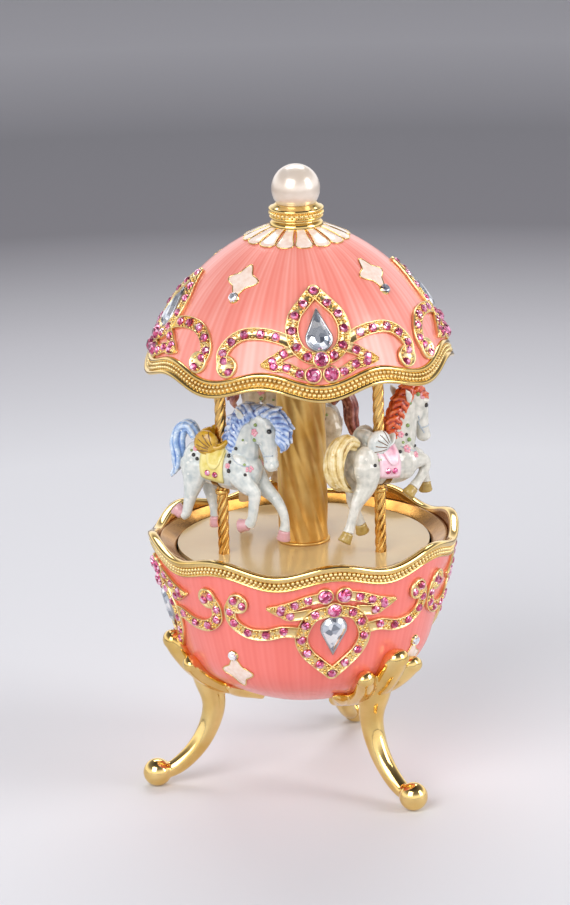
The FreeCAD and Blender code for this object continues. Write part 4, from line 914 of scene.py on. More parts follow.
def channel(shell, line, half_width, tip):
    """A band of gold with raised edges that follows a line on a shell and narrows to a tip."""
    spots = [on_shell(shell, along, rise) for along, rise in curve_through(line)]
    rings = []
    last = len(spots) - 1
    for i, (centre, normal) in enumerate(spots):
        tangent = spots[min(i + 1, last)][0] - spots[max(i - 1, 0)][0]
        side = normal.cross(tangent).normalized()
        width = half_width * min(1.0, tip + (1.0 - tip) * TAPER * (1.0 - i / last))
        rings.append([centre + side * (s * width) + normal * (h * GOLD_HEIGHT) for s, h in CHANNEL])
    return loft(rings, caps=True)


def saucer(shell, spot, radius):
    """A round setting with a raised edge at a place on a shell."""
    centre, normal = on_shell(shell, *spot)
    level = Vector((-normal.y, normal.x, 0.0)).normalized()
    up = normal.cross(level)
    rings = []
    for share, height in SAUCER:
        middle = centre + normal * (height * GOLD_HEIGHT)
        rings.append(ring_round(middle, level, up, radius * share, radius * share, SAUCER_CORNERS))
    return loft(rings, caps=True)


print("gold stands", GOLD_HEIGHT, "mm off the enamel")

# %% One medallion
SMALL_STONE = 1.1
SMALL_LIFT = 0.8
LARGE_STONE = 1.8
LARGE_LIFT = 1.05
LARGE_SAUCER = 2.2
POINT_SAUCER = 1.7
END_SAUCER = 2.8
GRAIN = 0.36
GRAIN_LIFT = 0.72
GRAIN_GAP = 0.2
GRAINS_ROUND_END = 12
END_GRAIN_CIRCLE = 0.62 * END_SAUCER
PRONGS = [(0.33, 0.85), (0.5, 0.5), (0.67, 0.85)]


def mirrored(places):
    return places + [(-along, rise) for along, rise in places if along]


def medallion(shell, lines):
    """The gold of one medallion, and the places of its pink stones and of the grains between them."""
    gold_shapes = []
    small = []
    grains = []
    for half_width, tip, first, line in ((1.65, 1.0, 0, lines.frame), (1.6, 1.0, 1, lines.arm),
                                         (1.35, 0.15, 1, lines.wing), (1.35, 0.15, 1, lines.keel)):
        for side in (-1, 1):
            sided = [(side * along, rise) for along, rise in line]
            gold_shapes.append(channel(shell, sided, half_width, tip))
        small += line[first:-1]
        for (a0, r0), (a1, r1) in zip(line[first:-1], line[first + 1:]):
            reach = math.hypot(a1 - a0, r1 - r0)
            narrow = tip if (a1, r1) == line[-1] else 1.0
            for share, spread in PRONGS:
                along, rise = a0 + (a1 - a0) * share, r0 + (r1 - r0) * share
                shift = -(r1 - r0) / reach * spread * narrow, (a1 - a0) / reach * spread * narrow
                grains += [(along + shift[0], rise + shift[1]), (along - shift[0], rise - shift[1])]
    (a0, r0), (a1, r1) = lines.ends
    middle = (a0 + a1) / 2, (r0 + r1) / 2
    gold_shapes += [saucer(shell, spot, END_SAUCER) for spot in mirrored([middle])]
    for k in range(GRAINS_ROUND_END):
        a = 2 * math.pi * k / GRAINS_ROUND_END
        spot = middle[0] + END_GRAIN_CIRCLE * math.cos(a), middle[1] + END_GRAIN_CIRCLE * math.sin(a)
        if min(math.dist(spot, end) for end in lines.ends) > SMALL_STONE + GRAIN_GAP:
            grains.append(spot)
    gold_shapes += [saucer(shell, spot, LARGE_SAUCER) for spot in lines.large]
    gold_shapes.append(saucer(shell, lines.frame[0], POINT_SAUCER))
    small = mirrored(small + lines.ends)
    stones = [(*on_shell(shell, along, rise, SMALL_LIFT), SMALL_STONE) for along, rise in small]
    stones += [(*on_shell(shell, along, rise, LARGE_LIFT), LARGE_STONE) for along, rise in lines.large]
    seeds = [(*on_shell(shell, along, rise, GRAIN_LIFT), GRAIN) for along, rise in mirrored(grains)]
    return gold_shapes, stones, seeds


medallions = [medallion(shell, lines) for shell, lines in halves]
print("stones and grains:", [(len(stones), len(seeds)) for gold_shapes, stones, seeds in medallions])

# %% Pear stones
PEAR_LENGTH = 10.0
PEAR_WIDTH = 6.0
PEAR_STEPS = 20
PEAR_FACETS = [(1.0, -0.3), (1.0, 0.55), (0.72, 1.25), (0.4, 1.55)]
PEAR_CLAW = [(1.14, -0.2), (1.14, 0.35), (1.08, 0.6), (1.0, 0.62), (0.98, 0.3)]


def pear_outline():
    """A pear outline as (sideways, up) pairs, round below and pointed above."""
    radius = PEAR_WIDTH / 2
    reach = PEAR_LENGTH - radius
    touch = math.acos(radius / reach)
    first = math.pi / 2 + touch
    sweep = 2 * math.pi - 2 * touch
    arc = [first + sweep * k / PEAR_STEPS for k in range(PEAR_STEPS + 1)]
    outline = [(radius * math.cos(a), radius * math.sin(a)) for a in arc]
    s, v = outline[-1]
    for share in (0.33, 0.66):
        outline.append((s * (1 - share), v * (1 - share) + reach * share))
    return outline + [(0.0, reach)]


def pear_rings(shell, lines, levels):
    """Rings of a pear outline at (scale, height) levels on a shell."""
    centre, normal = on_shell(shell, 0.0, lines.pear)
    up = Vector((1, 0, 0)).cross(normal) * (-1.0 if lines.point_up else 1.0)
    outline = pear_outline()
    core = sum(v for s, v in outline) / len(outline)
    rings = []
    for size, lift in levels:
        rings.append([centre + Vector((s * size, 0, 0)) + up * ((v - core) * size + core) + normal * lift
                      for s, v in outline])
    return rings


print("points round a pear stone:", len(pear_outline()))

# %% Medallions on both halves
MEDALLION_COUNT = 4
for (shell, lines), (gold_shapes, stones, seeds) in zip(halves, medallions):
    name = shell.name
    pear = mesh_of("pear", [loft(pear_rings(shell, lines, PEAR_FACETS), caps=True)], smooth=False)
    claws = mesh_of("claws", [loft(pear_rings(shell, lines, PEAR_CLAW))])
    pink = set_on("pink", stones, STONE, PINK_GLASS)
    grains = set_on("grains", seeds, BEAD, POLISHED_GOLD)
    bands = mesh_of("bands", gold_shapes)
    for label, mesh, material, slot, stands_for in (
            ("_medallion_gold", bands, CAST_GOLD, "gold_plate", [name + "_medallions"]),
            ("_medallion_pink", pink, PINK_GLASS, "pink_crystal", [name + "_pink_stones"]),
            ("_medallion_grains", grains, POLISHED_GOLD, "gold_plate", []),
            ("_pears", pear, CLEAR_GLASS, "clear_crystal", [name + "_pear_stones"]),
            ("_pear_cups", claws, TURNED_STEEL, "turned_steel", [])):
        ring_piece(name + label, mesh, MEDALLION_COUNT, shell.rest, material, shell.body, stands_for)
    print(name, "medallion faces:", len(bands.polygons), "pink stones:", MEDALLION_COUNT * len(stones))

# %% [markdown]
# ## Stars and petals
# Between the medallions sit small cream stars with a gold outline and a clear stone at one tip, and
# a ring of cream petals lies round the collar. An enamel patch is a fan of rings that shrink to its
# middle, each laid back on the shell so that the patch follows its curve. The outline is a thin wire
# swept along the same points.

# %% Enamel patches
WIRE = 0.16
WIRE_LIFT = 0.2
WIRE_CORNERS = 8
PATCH_LIFT = 0.32
PATCH_LEVELS = [(1.0, -0.25), (1.0, 0.18)] + [(size, PATCH_LIFT) for size in (0.9, 0.6, 0.3, 0.02)]


def patch(shell, centre_rise, outline):
    """An enamel patch and the gold wire round it, from (sideways, up) pairs about a place on a shell."""
    centre, normal = on_shell(shell, 0.0, centre_rise)
    side = Vector((1, 0, 0))
    up = normal.cross(side) * (1.0 if normal.cross(side).z > 0 else -1.0)
    rings = []
    for size, lift in PATCH_LEVELS:
        spots = [centre + side * (s * size) + up * (v * size) for s, v in outline]
        rings.append([laid_on(shell, spot, lift)[0] for spot in spots])
    edge = [laid_on(shell, centre + side * s + up * v, WIRE_LIFT) for s, v in outline]
    wire = []
    for i, (point, facing_out) in enumerate(edge):
        tangent = (edge[(i + 1) % len(edge)][0] - edge[i - 1][0]).normalized()
        across = facing_out.cross(tangent).normalized()
        wire.append(ring_round(point, facing_out, across, WIRE, WIRE, WIRE_CORNERS))
    return loft(rings, caps=True), loft(wire, loop=True)


def star_outline(reach_up, reach_side, waist, soft=0.15, steps=64):
    """A plump star with hollow sides and four points, softened by a share of their reach."""
    outline = []
    for k in range(steps):
        a = 2 * math.pi * k / steps
        reach = waist + (1.0 - waist) * (1.0 + soft - math.hypot(math.sin(2 * a), soft))
        outline.append((reach_side * reach * math.sin(a), reach_up * reach * math.cos(a)))
    return outline


def petal_outline(inner, outer, half_width):
    """A petal that widens towards a rounded outer end; up is towards the finial."""
    shares = [(0.5, inner), (0.64, 0.3 * inner), (0.88, -0.3 * outer), (1.0, -0.58 * outer),
              (0.86, -0.85 * outer), (0.48, -0.97 * outer), (0.0, -outer)]
    half = curve_through([(share * half_width, v) for share, v in shares], 4)
    return half + [(-s, v) for s, v in reversed(half[:-1])]


star_shape = star_outline(reach_up=4.8, reach_side=4.6, waist=0.54)
petal_shape = petal_outline(inner=4.2, outer=3.5, half_width=2.2)
print("points round a star and a petal:", len(star_shape), len(petal_shape))

# %% Stars and petals
STAR_COUNT = 4
FIRST_STAR = 45.0
STAR_GEM = 1.4
GEM_LIFT = 0.45
GEM_SEAT = 1.7
SEAT_SINK = -0.5
PETAL_COUNT = 16
PETAL_CIRCLE = 10.4
for shell, lines in halves:
    star, star_wire = patch(shell, lines.star, star_shape)
    tip = (*on_shell(shell, 0.0, lines.star_stone, GEM_LIFT), STAR_GEM)
    seat = (*on_shell(shell, 0.0, lines.star_stone, SEAT_SINK), GEM_SEAT)
    gem = set_on("gem", [tip], STONE, CLEAR_GLASS)
    for label, mesh, material, slot, stands_for in (
            ("_stars", mesh_of("star", [star]), CREAM_ENAMEL, "cream_enamel", []),
            ("_star_outlines", mesh_of("star_wire", [star_wire]), POLISHED_GOLD, "gold_plate", []),
            ("_star_gems", gem, CLEAR_GLASS, "clear_crystal", [shell.name + "_star_stones"]),
            ("_star_seats", set_on("seat", [seat], BEAD, POLISHED_GOLD), POLISHED_GOLD, "gold_plate", [])):
        ring_piece(shell.name + label, mesh, STAR_COUNT, FIRST_STAR + shell.rest, material, shell.body,
                   stands_for)

petal_rise = dome_height(PETAL_CIRCLE) - DOME_RIM
petal, petal_wire = patch(DOME, petal_rise, petal_shape)
for name, shape, material, slot in (("dome_petals", petal, CREAM_ENAMEL, "cream_enamel"),
                                    ("dome_petal_outlines", petal_wire, POLISHED_GOLD, "gold_plate")):
    ring_piece(name, mesh_of(name, [shape]), PETAL_COUNT, DOME.rest, material, "carousel")
print("petals:", PETAL_COUNT, "stars:", 2 * STAR_COUNT)

# %% [markdown]
# ## The finial
# A turned collar closes the tip of the dome, and a drilled pearl is pinned in its cup. A row of small
# beads sits in a groove of the collar. Both are lathe shapes. The Screw modifier could spin them, but
# the loft from before already closes its seams and points its faces outwards.

# %% Collar
COLLAR = dome_height(6.0)
COLLAR_BEADS = 34
COLLAR_GROOVE = 6.45
BEAD_LEVEL = COLLAR + 3.32
COLLAR_BEAD = 0.52
collar_corners = [(6.3, -0.6), (6.62, -0.1), (6.75, 0.4), (6.6, 0.95), (6.25, 1.25), (5.95, 1.45),
                  (5.85, 1.75), (6.1, 2.0), (6.55, 2.1), (6.78, 2.3), (6.8, 2.55), (6.6, 2.7),
                  (COLLAR_GROOVE, 2.8), (COLLAR_GROOVE, 3.85), (6.65, 3.95), (6.9, 4.15), (6.95, 4.4),
                  (6.8, 4.7), (6.4, 4.9), (5.9, 5.05), (5.3, 5.5), (4.95, 5.75), (4.5, 5.6), (3.2, 4.6),
                  (3.2, -0.6)]
collar_mesh = mesh_of("collar", [turned([(r, COLLAR + z) for r, z in collar_corners])])
piece("collar", collar_mesh, POLISHED_GOLD, "carousel", ["finial_collar"])
bead_turns = [360.0 * k / COLLAR_BEADS for k in range(COLLAR_BEADS)]
collar_beads = [(polar(COLLAR_GROOVE, a, BEAD_LEVEL), polar(1.0, a, 0.0), COLLAR_BEAD) for a in bead_turns]
piece("collar_beads", set_on("collar_beads", collar_beads, BEAD, CAST_GOLD), None, "carousel")
print("collar from", round(COLLAR, 2), "mm with", COLLAR_BEADS, "beads")

# %% Pearl
PEARL_RADIUS = 6.1
PEARL_SEAT = 3.6
PEARL_REST = COLLAR + 4.4
PEARL_CENTRE = PEARL_REST + math.sqrt(PEARL_RADIUS ** 2 - PEARL_SEAT ** 2)
PEARL_DRILL = 0.9
PEARL_SIDES = 72
PEARL_BANDS = 48
THIN_POLE = 0.001
drill = math.degrees(math.asin(PEARL_DRILL / PEARL_RADIUS))
pearl_profile = [(PEARL_DRILL, -1.0)]
for k in range(PEARL_BANDS + 1):
    angle = math.radians(-90.0 + drill + (180.0 - drill) * k / PEARL_BANDS)
    pearl_profile.append((max(PEARL_RADIUS * math.cos(angle), THIN_POLE), PEARL_RADIUS * math.sin(angle)))
pearl_rings = [[polar(r, 360.0 * n / PEARL_SIDES, PEARL_CENTRE + z) for n in range(PEARL_SIDES)]
               for r, z in pearl_profile]
pearl_mesh = mesh_of("pearl", [loft(pearl_rings, caps=True)])
piece("pearl_finial", pearl_mesh, PEARL, "carousel", ["pearl"])
print("finial top", round(PEARL_CENTRE + PEARL_RADIUS, 2), "mm")

# %% [markdown]
# ## Column, posts, bezel and turntable
# The column looks like wide ribbons wound round a pillar, and the posts look like rope. Both are the
# same thing to a node tree: a fluted section that turns as it climbs. The turntable keeps its CAD
# solid, because a flat disc needs only its finish, and the bezel is turned again with rounded edges.

# %% Column and posts
POST_CIRCLE = 22.8
POST_RADIUS = 1.45
COLUMN_RADIUS = 6.2
RIBBON_SWELL = 0.1
CAROUSEL_REST = -13.2
UP = Vector((0, 0, 1))
post_azimuths = [CAROUSEL_REST + 60.0 * (2 * k - 1) for k in range(3)]
post_spots = [(polar(POST_CIRCLE, azimuth, TURNTABLE_TOP), UP, 1.0) for azimuth in post_azimuths]
column_spots = [(UP * TURNTABLE_TOP, UP, 1.0)]


def twisted_rods(name, spots, radius, strands, depth, turns, material):
    """Rods of rope or ribbon that stand on the turntable and reach up to the ceiling."""
    rods = grown(name, stations_for(name, spots), rod_tree, Height=(CEILING - TURNTABLE_TOP) * MM,
                 Radius=radius * MM, Strands=strands, Depth=depth, Turns=turns, Material=material)
    rods.polygons.foreach_set("use_smooth", [True] * len(rods.polygons))
    return rods


posts = twisted_rods("posts", post_spots, POST_RADIUS, strands=5, depth=0.2, turns=3.4, material=TWIST_GOLD)
piece("twisted_posts", posts, None, "carousel", ["post_blue", "post_red", "post_brown"])
column = twisted_rods("column", column_spots, COLUMN_RADIUS + RIBBON_SWELL, strands=9, depth=0.07,
                      turns=-0.42, material=SATIN_GOLD)
piece("column_ribbons", column, None, "carousel", ["column"])
print("posts at", [round(a, 1) for a in post_azimuths])

# %% Collars on the column and the posts
POST_COLLAR = 78.5
POST_COLLAR_SIDES = 32
foot = [(5.6, 0.0), (6.6, 0.0), (6.75, 0.25), (6.7, 0.55), (6.4, 0.8), (5.6, 0.9)]
cap = [(5.6, 0.0), (7.6, 0.0), (7.8, -0.6), (7.5, -1.5), (6.6, -2.1), (5.6, -2.3)]
column_rings = [turned([(r, base + z) for r, z in profile])
                for base, profile in ((TURNTABLE_TOP, foot), (CEILING, cap))]
piece("column_collars", mesh_of("column_collars", column_rings), SATIN_GOLD, "carousel")
collar_profile = [(1.3, 0.0), (1.75, 0.0), (1.85, 0.2), (1.85, 0.9), (1.7, 1.1), (1.3, 1.1)]
post_collars = []
for spot, *_ in post_spots:
    points, faces = turned([(r, POST_COLLAR + z) for r, z in collar_profile], POST_COLLAR_SIDES)
    post_collars.append(([p + Vector((spot.x, spot.y, 0)) for p in points], faces))
piece("post_collars", mesh_of("post_collars", post_collars), TWIST_GOLD, "carousel")
print("collars:", len(column_rings) + len(post_collars))

# %% Bezel
BEZEL_INNER = 32.4
BEZEL_SEAT = 59.6
BEZEL_BITE = 0.68
BEZEL_SIDES = 192
bezel_outer = bowl_radius(BEZEL_SEAT, WALL) + BEZEL_BITE
bezel_top = BOWL_RIM - BOWL.wave - LIP_COVER
bezel_profile = [(BEZEL_INNER, BEZEL_SEAT), (bezel_outer, BEZEL_SEAT), (bezel_outer, bezel_top - 0.2),
                 (bezel_outer - 0.25, bezel_top), (bezel_outer - 0.8, bezel_top - 0.1),
                 (BEZEL_INNER + 0.6, TURNTABLE_TOP - 0.25), (BEZEL_INNER + 0.15, TURNTABLE_TOP - 0.45),
                 (BEZEL_INNER, TURNTABLE_TOP - 0.8)]
bezel_mesh = mesh_of("bezel", [turned(bezel_profile, BEZEL_SIDES)])
# The bezel is in the darker gold: painted shade in the mouth of the bowl.
piece("bezel", bezel_mesh, SHADED_GOLD, "base", ["bezel_ring"])
print("bezel from", BEZEL_INNER, "to", round(bezel_outer, 2), "mm")

# %% [markdown]
# ## The legs
# A cabriole leg is modelled as a caster would model it in wax: a tapering stem that curves out to a
# ball, and lobes like a fan of petals pressed against the bowl, each with its tip rolled over. The
# lumps are joined by a voxel remesh and smoothed, and one leg is repeated three times.

# %% Lines of a leg
# A station of the stem is (distance from the axis, z, half-depth, half-width), and one of a lobe is
# (azimuth, z, lift off the bowl, radius).
leg_stem = [(27.5, 31.0, 3.0, 4.2), (26.0, 27.2, 3.3, 4.2), (24.7, 23.4, 3.2, 3.6), (24.5, 19.8, 2.95, 3.1),
            (25.6, 15.6, 2.7, 2.8), (27.7, 11.4, 2.5, 2.6), (30.6, 7.8, 2.35, 2.4), (34.0, 5.0, 2.2, 2.2),
            (37.0, 3.6, 1.9, 2.0), (39.0, 3.6, 1.7, 1.8)]
middle_lobe = [(0.0, 23.5, 0.3, 2.5), (0.0, 27.0, 0.7, 2.9), (0.0, 31.0, 0.9, 3.2), (0.0, 35.0, 1.0, 3.3),
               (0.0, 38.0, 1.6, 3.2), (0.0, 39.8, 2.3, 2.8), (0.0, 41.0, 2.8, 1.9), (0.0, 41.5, 3.0, 0.5)]
upper_lobe = [(3.0, 23.5, 0.3, 2.2), (6.5, 27.5, 0.6, 2.6), (10.5, 31.5, 0.8, 2.8), (13.2, 34.4, 1.3, 2.6),
              (14.4, 35.8, 2.0, 2.2), (15.0, 36.8, 2.4, 1.5), (15.2, 37.2, 2.6, 0.4)]
lower_lobe = [(4.0, 23.6, 0.3, 1.9), (11.0, 25.6, 0.5, 2.0), (18.0, 27.4, 0.6, 1.7), (23.0, 28.6, 0.7, 1.1),
              (25.6, 29.1, 0.8, 0.6), (26.4, 29.3, 0.8, 0.1)]
lobe_lines = [middle_lobe]
lobe_tips = [(0.0, 39.6, 2.6, 2.7)]
for side in (-1, 1):
    for lobe in (upper_lobe, lower_lobe):
        lobe_lines.append([(side * turn, *station) for turn, *station in lobe])
    lobe_tips.append((side * 14.4, 35.6, 2.2, 2.2))
print("lobes of a leg:", len(lobe_lines))

# %% Cabriole legs
LEG_COUNT = 3
FIRST_LEG = -90.0
FOOT_CIRCLE = 39.6
FOOT_RADIUS = 3.65
FOOT_SINK = 0.12
LEG_BITE = 0.25
LEG_VOXEL = 0.29
LOBE_DEPTH = 0.95
LOBE_WIDTH = 1.12
TIP_SHAPE = (1.15, 0.9, 0.95)


def on_bowl(turn, z, lift):
    point = polar(bowl_radius(z), turn, z)
    return laid_on(BOWL, point, lift)[0]


stem = [(Vector((0, -r, z)), depth, width) for r, z, depth, width in curve_through(leg_stem, 4)]
leg_shapes = [limb(stem, Vector((1, 0, 0)), 18)]
for line in lobe_lines:
    path = []
    for turn, z, lift, radius in curve_through(line, 4):
        path.append((on_bowl(turn, z, lift), LOBE_DEPTH * radius, LOBE_WIDTH * radius))
    heading = (path[-1][0] - path[0][0]).normalized()
    leg_shapes.append(limb(path, heading.cross(Vector((0, -1, 0))), 16))
for turn, z, lift, radius in lobe_tips:
    leg_shapes.append(ball(on_bowl(turn, z, lift), [radius * share for share in TIP_SHAPE]))
leg_shapes.append(ball(Vector((0, -FOOT_CIRCLE, FOOT_RADIUS - FOOT_SINK)), (FOOT_RADIUS,) * 3, 28, 18))
leg_mesh = sculpted("leg", leg_shapes, LEG_VOXEL, 3)
for vertex in leg_mesh.vertices:
    point = vertex.co / MM
    inner = bowl_radius(point.z) - LEG_BITE if BOWL_BOTTOM < point.z < BOWL_RIM else 0.0
    radius = math.hypot(point.x, point.y)
    if radius < inner:
        vertex.co = Vector((point.x * inner / radius, point.y * inner / radius, point.z)) * MM
    vertex.co.z = max(vertex.co.z, 0.0)
legs = ring_piece("cabriole_legs", leg_mesh, LEG_COUNT, FIRST_LEG, POLISHED_GOLD, "base",
                  ["leg_left", "leg_right", "leg_back"])
print("leg faces:", len(legs.data.polygons))

# %% [markdown]
# ## The horses
# Each horse is a small casting, painted by hand. Its body is a skeleton of tapering limbs and lumps
# of muscle joined into one skin. Mane, tail, hooves and saddle are pieces of their own so that
# each has its own paint. A horse is modelled round its post, with x forward and z up, and then
# turned and carried to its place on the carousel.

# %% Trunk and legs
# A station is (x, z, half-depth, half-width), and each leg starts with how far to the side it stands.
trunk = [(-8.8, 3.0, 1.0, 0.9), (-8.1, 3.0, 3.2, 2.8), (-6.0, 2.2, 5.2, 4.4), (-2.4, 0.8, 5.3, 4.8),
         (1.8, 0.2, 5.4, 4.8), (5.8, 0.4, 5.8, 4.6), (9.0, 1.2, 4.6, 3.6), (10.9, 1.8, 1.6, 1.4)]
seat_line = [(-3.6, 6.8, 1.1, 4.6), (-1.2, 6.0, 1.1, 4.8), (1.2, 6.2, 1.0, 4.4), (2.8, 7.4, 1.0, 3.3),
             (3.6, 8.6, 0.6, 1.8)]
galloping = [
    (-3.0, [(6.4, -0.4, 3.2, 2.2), (8.6, -3.0, 2.4, 1.9), (10.7, -4.6, 1.8, 1.6), (10.5, -8.0, 1.4, 1.3),
            (9.9, -11.6, 1.3, 1.2), (8.9, -13.2, 1.5, 1.4), (7.0, -13.6, 1.6, 1.5)]),
    (3.0, [(7.0, -0.4, 3.2, 2.2), (10.1, -4.6, 2.3, 1.8), (13.6, -7.6, 1.6, 1.4), (15.6, -11.0, 1.25, 1.15),
           (16.0, -13.8, 1.2, 1.1), (15.8, -15.4, 1.5, 1.4), (15.5, -17.4, 1.8, 1.7)]),
    (-3.0, [(-5.8, 1.4, 4.2, 2.4), (-6.4, -3.2, 3.0, 2.1), (-7.5, -7.4, 1.8, 1.5), (-8.2, -10.0, 1.4, 1.2),
            (-8.9, -12.2, 1.3, 1.2), (-9.9, -12.8, 1.4, 1.3), (-11.4, -11.6, 1.6, 1.5)]),
    (3.0, [(-5.8, 1.4, 4.2, 2.4), (-5.4, -3.8, 3.0, 2.0), (-4.8, -8.2, 1.8, 1.5), (-4.3, -10.6, 1.4, 1.2),
           (-4.0, -12.8, 1.25, 1.15), (-3.9, -14.0, 1.4, 1.3), (-3.7, -15.6, 1.6, 1.5)])]
prancing = [
    (-3.0, [(6.8, 0.2, 3.2, 2.2), (9.4, 0.2, 2.2, 1.8), (11.6, -0.2, 1.7, 1.6), (12.2, -1.8, 1.4, 1.4),
            (11.2, -3.8, 1.2, 1.2), (9.8, -5.4, 1.25, 1.15), (8.4, -6.7, 1.5, 1.4), (6.8, -8.0, 1.8, 1.7)]),
    (3.0, [(7.4, 0.6, 3.2, 2.2), (11.2, 0.2, 2.3, 1.8), (14.6, -0.8, 1.7, 1.5), (16.0, -3.6, 1.3, 1.2),
           (16.6, -6.6, 1.2, 1.1), (16.7, -8.0, 1.5, 1.4), (16.8, -9.8, 1.7, 1.6)]),
    (-3.0, [(-5.8, 1.4, 4.2, 2.4), (-6.4, -3.4, 3.0, 2.1), (-9.2, -7.2, 1.8, 1.5), (-10.4, -9.8, 1.4, 1.2),
            (-11.6, -13.0, 1.3, 1.2), (-12.3, -14.6, 1.5, 1.4), (-13.5, -16.4, 1.8, 1.7)]),
    (3.0, [(-5.8, 1.4, 4.2, 2.4), (-5.6, -4.0, 3.0, 2.0), (-6.2, -8.6, 1.8, 1.5), (-5.6, -11.2, 1.4, 1.2),
           (-4.6, -13.8, 1.25, 1.15), (-4.1, -15.2, 1.4, 1.3), (-3.6, -16.8, 1.6, 1.5)])]
print("stations of a trunk:", len(trunk), "legs:", len(galloping), "and", len(prancing))

# %% Two poses
Pose = namedtuple("Pose", "neck head crest forelock tail strands legs")
bowed = Pose(
    neck=[(4.6, 1.2, 5.0, 3.8), (6.0, 5.6, 4.7, 3.2), (7.0, 9.6, 3.8, 2.7), (8.0, 12.8, 3.0, 2.3),
          (8.8, 15.0, 1.6, 1.3)],
    head=[(7.6, 14.8, 1.1, 1.0), (9.9, 14.2, 2.9, 2.2), (12.9, 11.5, 3.3, 2.5), (13.5, 7.5, 2.4, 2.0),
          (13.9, 4.1, 1.8, 1.6), (14.2, 2.0, 2.0, 1.7), (14.4, 0.6, 0.9, 0.9)],
    crest=[(2.6, 6.2), (2.8, 8.8), (3.9, 11.9), (5.8, 14.6), (8.4, 16.2), (11.8, 16.6), (15.2, 15.8),
           (17.5, 13.8), (18.2, 11.4), (17.8, 9.2)],
    forelock=0.55,
    tail=[(-7.0, 7.0, 1.3, 1.3), (-8.8, 9.6, 1.6, 1.6), (-11.0, 9.0, 1.8, 1.8), (-12.2, 5.8, 1.8, 1.9),
          (-12.2, 2.2, 1.7, 1.7), (-12.8, -0.8, 1.3, 1.3), (-13.8, -2.8, 0.5, 0.5)],
    strands=6, legs=galloping)
raised = Pose(
    neck=[(4.8, 1.2, 5.0, 3.8), (6.6, 6.0, 4.6, 3.2), (8.0, 10.6, 3.8, 2.7), (9.2, 14.4, 3.0, 2.2),
          (10.0, 17.0, 1.6, 1.3)],
    head=[(8.4, 17.0, 1.0, 1.0), (10.1, 16.3, 2.6, 2.1), (12.2, 13.6, 3.0, 2.4), (13.2, 10.0, 2.2, 1.9),
          (13.8, 7.0, 1.7, 1.5), (14.1, 5.0, 1.9, 1.6), (14.2, 3.8, 0.9, 0.9)],
    crest=[(2.8, 7.6), (3.2, 10.6), (4.8, 14.0), (7.0, 17.0), (9.6, 18.5), (12.0, 18.0), (13.4, 16.2)],
    forelock=0.7,
    tail=[(-7.2, 6.4, 1.4, 1.4), (-10.0, 8.0, 1.9, 2.1), (-13.0, 6.4, 2.3, 2.6), (-14.2, 2.8, 2.4, 2.8),
          (-13.6, -0.8, 2.2, 2.5), (-11.8, -3.2, 1.5, 1.8), (-9.8, -4.4, 0.5, 0.5)],
    strands=8, legs=prancing)
print("heights of the crests:", [max(z for x, z in pose.crest) for pose in (bowed, raised)])


# %% Limbs and cloth on a skeleton
def side_limb(line, y=0.0):
    """A limb from (x, z, half-depth, half-width) stations in a plane of constant y."""
    return limb([(Vector((x, y, z)), depth, width) for x, z, depth, width in curve_through(line, 3)])


def on_trunk(x, angle, lift):
    """A place on the trunk: an angle from its top, to the left or, if negative, to the right."""
    for (x0, *low), (x1, *high) in zip(trunk, trunk[1:]):
        if x <= x1:
            break
    z, depth, width = [a + (b - a) * (x - x0) / (x1 - x0) for a, b in zip(low, high)]
    a = math.radians(angle)
    return Vector((x, (width + lift) * math.sin(a), z + (depth + lift) * math.cos(a)))


CLOTH_ROWS = 28
CLOTH_STEPS = 8


def draped(x0, x1, angle, lift, thick=0.5, square=1.0):
    """A cloth over the trunk, down both sides to an angle; its ends are square down to a share of it."""
    rings = []
    for k in range(CLOTH_ROWS + 1):
        a = -angle + 2 * angle * k / CLOTH_ROWS
        rounding = max(abs(a) / angle - square, 0.0) / max(1.0 - square, 0.01)
        half = (x1 - x0) / 2 * math.sqrt(max(1.0 - rounding ** 2, 0.04))
        xs = [(x0 + x1) / 2 + half * (2 * i / CLOTH_STEPS - 1) for i in range(CLOTH_STEPS + 1)]
        outer = [on_trunk(x, a, lift) for x in xs]
        rings.append(outer + [on_trunk(x, a, lift - thick) for x in reversed(xs)])
    return loft(rings, caps=True)


print("top of the back at the post:", round(on_trunk(0.0, 0.0, 0.0).z, 2), "mm")

# %% Bodies and hooves
BODY_VOXEL = 0.22
HOOF_STATIONS = [(-0.3, 1.1), (0.0, 1.5), (0.35, 1.5), (1.1, 1.6), (2.1, 1.85), (2.4, 1.6)]


